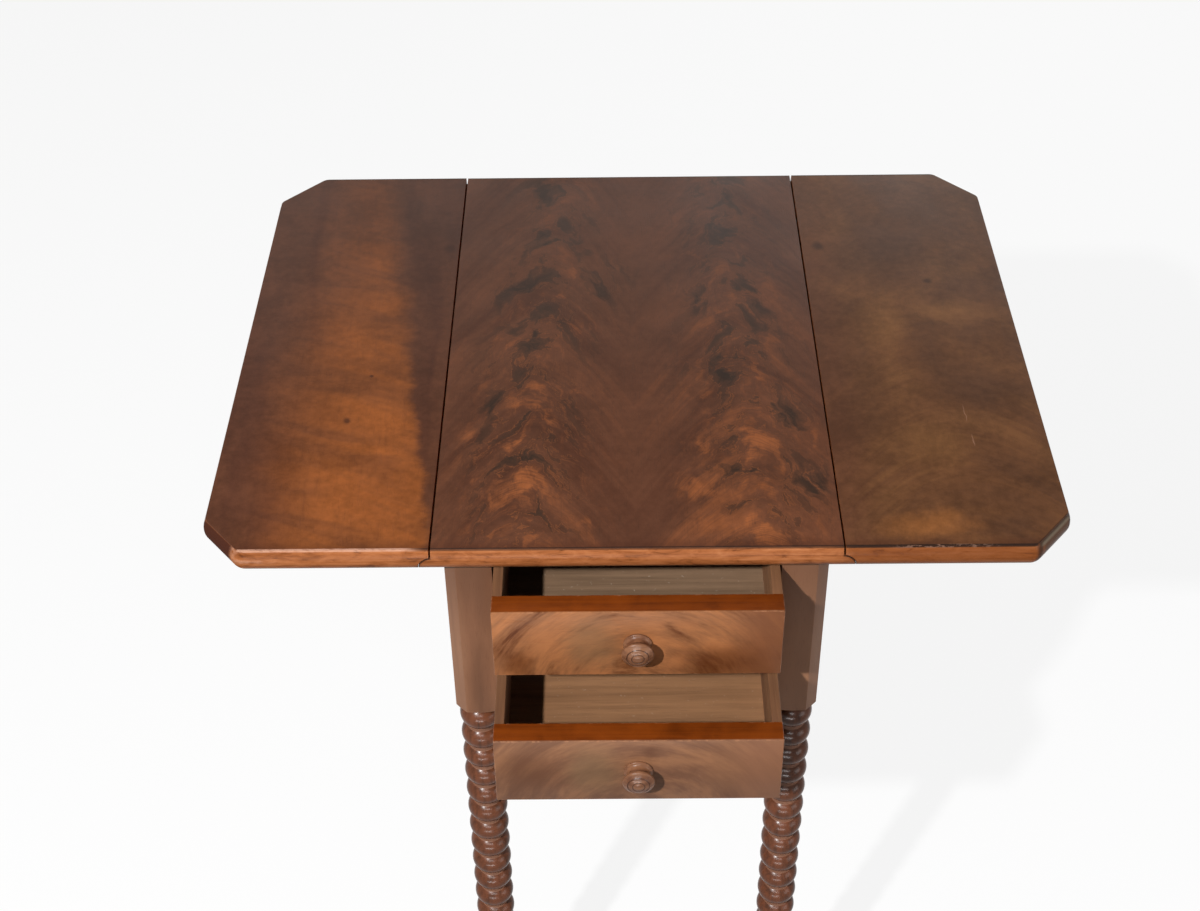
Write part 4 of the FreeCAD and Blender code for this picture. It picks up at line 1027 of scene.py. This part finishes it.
def makeLegs():
    turning = spinPiece("legTurning", turningProfile(), Vector(), Vector((0, 0, 1)), legTurning["spinSteps"])
    cut = (0, 0, legTurning["blockBottom"] + shaping["cutLift"])
    for name in ("front_left_leg", "front_right_leg", "rear_left_leg", "rear_right_leg"):
        low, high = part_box(name)
        leg = copyOf(name)
        edit("SELECT")
        bpy.ops.mesh.bisect(plane_co=cut, plane_no=(0, 0, 1), use_fill=True, clear_inner=True)
        leaveEdit()
        ease(leg, legTurning["easeWidth"], legTurning["easeShortest"])
        spun = meshCopy(name + "Turning", turning.data)
        spun.data.transform(Matrix.Translation(((low.x + high.x) / 2, (low.y + high.y) / 2, 0)))
        pick(leg)
        spun.select_set(True)
        bpy.ops.object.join()
        smooth()
        stand(leg, name)
    bpy.data.objects.remove(turning)


def knobProfile():  # from the tenon's end out to the crown
    knob = turnedKnob
    collar, head, rim = knob["collar"], knob["head"], knob["rimHeight"]
    ring, face, button, foot = knob["ring"], knob["faceHeight"], knob["button"], knob["buttonFoot"]
    return traced(
        [(0.0, -knob["tenonDepth"])],
        (knob["tenon"], -knob["tenonDepth"]),
        (knob["tenon"], 0.0),
        (collar, 0.0),
        ((collar + knob["collarSwell"], knob["collarHeight"] / 2),
         (collar - knob["collarRound"], knob["collarHeight"]), 6),
        (knob["neck"] + knob["neckFillet"], knob["collarHeight"] + knob["neckFilletHeight"]),
        ((knob["neck"], knob["neckHeight"]), (head - knob["underIn"], rim - knob["underDrop"]), 10),
        ((head, rim), (head - knob["overIn"], rim + knob["overRise"]), 10),
        (ring + knob["ringWidth"], face),
        (ring, face - knob["ringDepth"]),
        (ring - knob["ringWidth"], face + knob["ringDepth"]),
        ((knob["dome"], knob["domeHeight"]), (button + knob["buttonEdge"], foot), 5),
        (button, foot - knob["buttonDepth"]),
        (button - knob["buttonEdge"], foot),
        ((knob["buttonRound"], knob["buttonRoundHeight"]), (knob["crownFlat"], knob["crown"]), 8),
        (0.0, knob["crown"]),
    )


def makeKnobs():
    for level in ("upper", "lower"):
        name = level + "_drawer_knob"
        low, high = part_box(name)
        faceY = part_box(level + "_drawer_front")[0].y
        centre = Vector(((low.x + high.x) / 2, faceY, (low.z + high.z) / 2))
        steps = turnedKnob["spinSteps"]
        piece = spinPiece(name + "Dressed", knobProfile(), centre, Vector((0, -1, 0)), steps)
        smooth(shaping["knobSmooth"])
        stand(piece, name)


boardEase = {
    "table_top": 0.0007, "left_leaf": 0.0008, "right_leaf": 0.0007,
    "upper_drawer_front": 0.0007, "lower_drawer_front": 0.0007,
    "upper_drawer_left_side": 0.0006, "upper_drawer_right_side": 0.0006, "upper_drawer_back": 0.0005,
    "lower_drawer_left_side": 0.0006, "lower_drawer_right_side": 0.0006, "lower_drawer_back": 0.0005,
    "top_front_rail": 0.0005, "drawer_divider": 0.0005, "bottom_front_rail": 0.0006, "back_panel": 0.0005,
    "left_side_panel": 0.0005, "right_side_panel": 0.0005,
}
for name, width in boardEase.items():
    piece = copyOf(name)
    if name.endswith("leaf"):
        roundCorners(piece, -1 if name.startswith("left") else 1)
    ease(piece, width, rim=board["surface"] - shaping["rimDrop"])
    stand(piece, name)
makeLegs()
makeKnobs()
print("dressed pieces made")


# Floor and light
studio = {
    "floorSize": 60.0, "floorDrop": 0.0003,
    "floorTone": 0.92, "floorBounce": 0.10, "floorGlow": 0.88,
    "worldStrength": 0.10,
    "aim": Vector((0.0, -0.12, 0.62)),
}
lamps = {  # where each one stands from the aim, its distance, size and power
    "key": {"from": (-0.377, -0.661, 0.648), "distance": 3.0, "size": (0.09, 0.09), "power": 120.0},
    "rightFill": {"from": (0.90, -0.60, 0.10), "distance": 2.4, "size": (1.20, 1.00), "power": 18.0},
    "upperStrip": {"from": (-0.10, -0.88, 0.46), "distance": 2.6, "size": (1.7, 0.14), "power": 42.0},
    "lowerStrip": {"from": (-0.10, -0.98, -0.19), "distance": 2.6, "size": (1.7, 0.14), "power": 42.0},
    "backFill": {"from": (0.40, 1.00, 0.24), "distance": 2.8, "size": (1.60, 1.20), "power": 10.0},
}


def seenPlainly():  # rays of the camera, and those that glass and gloss pass on
    path = newNode("LightPath").outputs
    return larger(larger(path["Is Camera Ray"], path["Is Transmission Ray"]), path["Is Glossy Ray"])


def grey(tone):
    return (tone, tone, tone, 1.0)


def mixShaders(factor, first, second):
    node = newNode("MixShader")
    plugInOrder(node, (factor, first.outputs[0], second.outputs[0]))
    return node


def makeFloor():
    bpy.ops.mesh.primitive_plane_add(size=studio["floorSize"], location=(0, 0, -studio["floorDrop"]))
    floor = bpy.context.object
    floor.name = "paleFloor"
    material = bpy.data.materials.new("paleFloor")
    material.use_nodes = True
    tree = making["tree"] = material.node_tree
    tree.nodes.remove(tree.nodes["Principled BSDF"])
    seen = seenPlainly()
    dull = newNode("BsdfDiffuse")
    plug(tinge(seen, grey(studio["floorBounce"]), grey(studio["floorTone"])), dull.inputs["Color"])
    mixed = mixShaders(times(seen, studio["floorGlow"]), dull, newNode("Emission"))
    below = newNode("NewGeometry").outputs["Backfacing"]  # clear from below, to look at the underside
    sided = mixShaders(below, mixed, newNode("BsdfTransparent"))
    plug(sided.outputs[0], tree.nodes["Material Output"].inputs["Surface"])
    floor.data.materials.append(material)


def makeLamp(name, values):
    away = Vector(values["from"])
    bpy.ops.object.light_add(type="AREA", location=studio["aim"] + away.normalized() * values["distance"])
    lamp = bpy.context.object
    lamp.name = name + "Lamp"
    lamp.data.shape = "RECTANGLE"
    lamp.data.size, lamp.data.size_y = values["size"]
    lamp.data.energy = values["power"]
    lamp.rotation_euler = away.to_track_quat("Z", "Y").to_euler()
    lamp.visible_diffuse = not name.endswith("Strip")  # the strips only shine in the polish


def makeWorld():
    world = bpy.data.worlds.new("paleRoom")
    world.use_nodes = True
    making["tree"] = world.node_tree
    back = world.node_tree.nodes["Background"]
    plugByName(back, Color=grey(1.0), Strength=fade(seenPlainly(), 0.0, 1.0, studio["worldStrength"], 1.0))
    bpy.context.scene.world = world


makeFloor()
for name, values in lamps.items():
    makeLamp(name, values)
makeWorld()
bpy.context.scene.view_settings.view_transform = "Standard"
print("floor and light set")
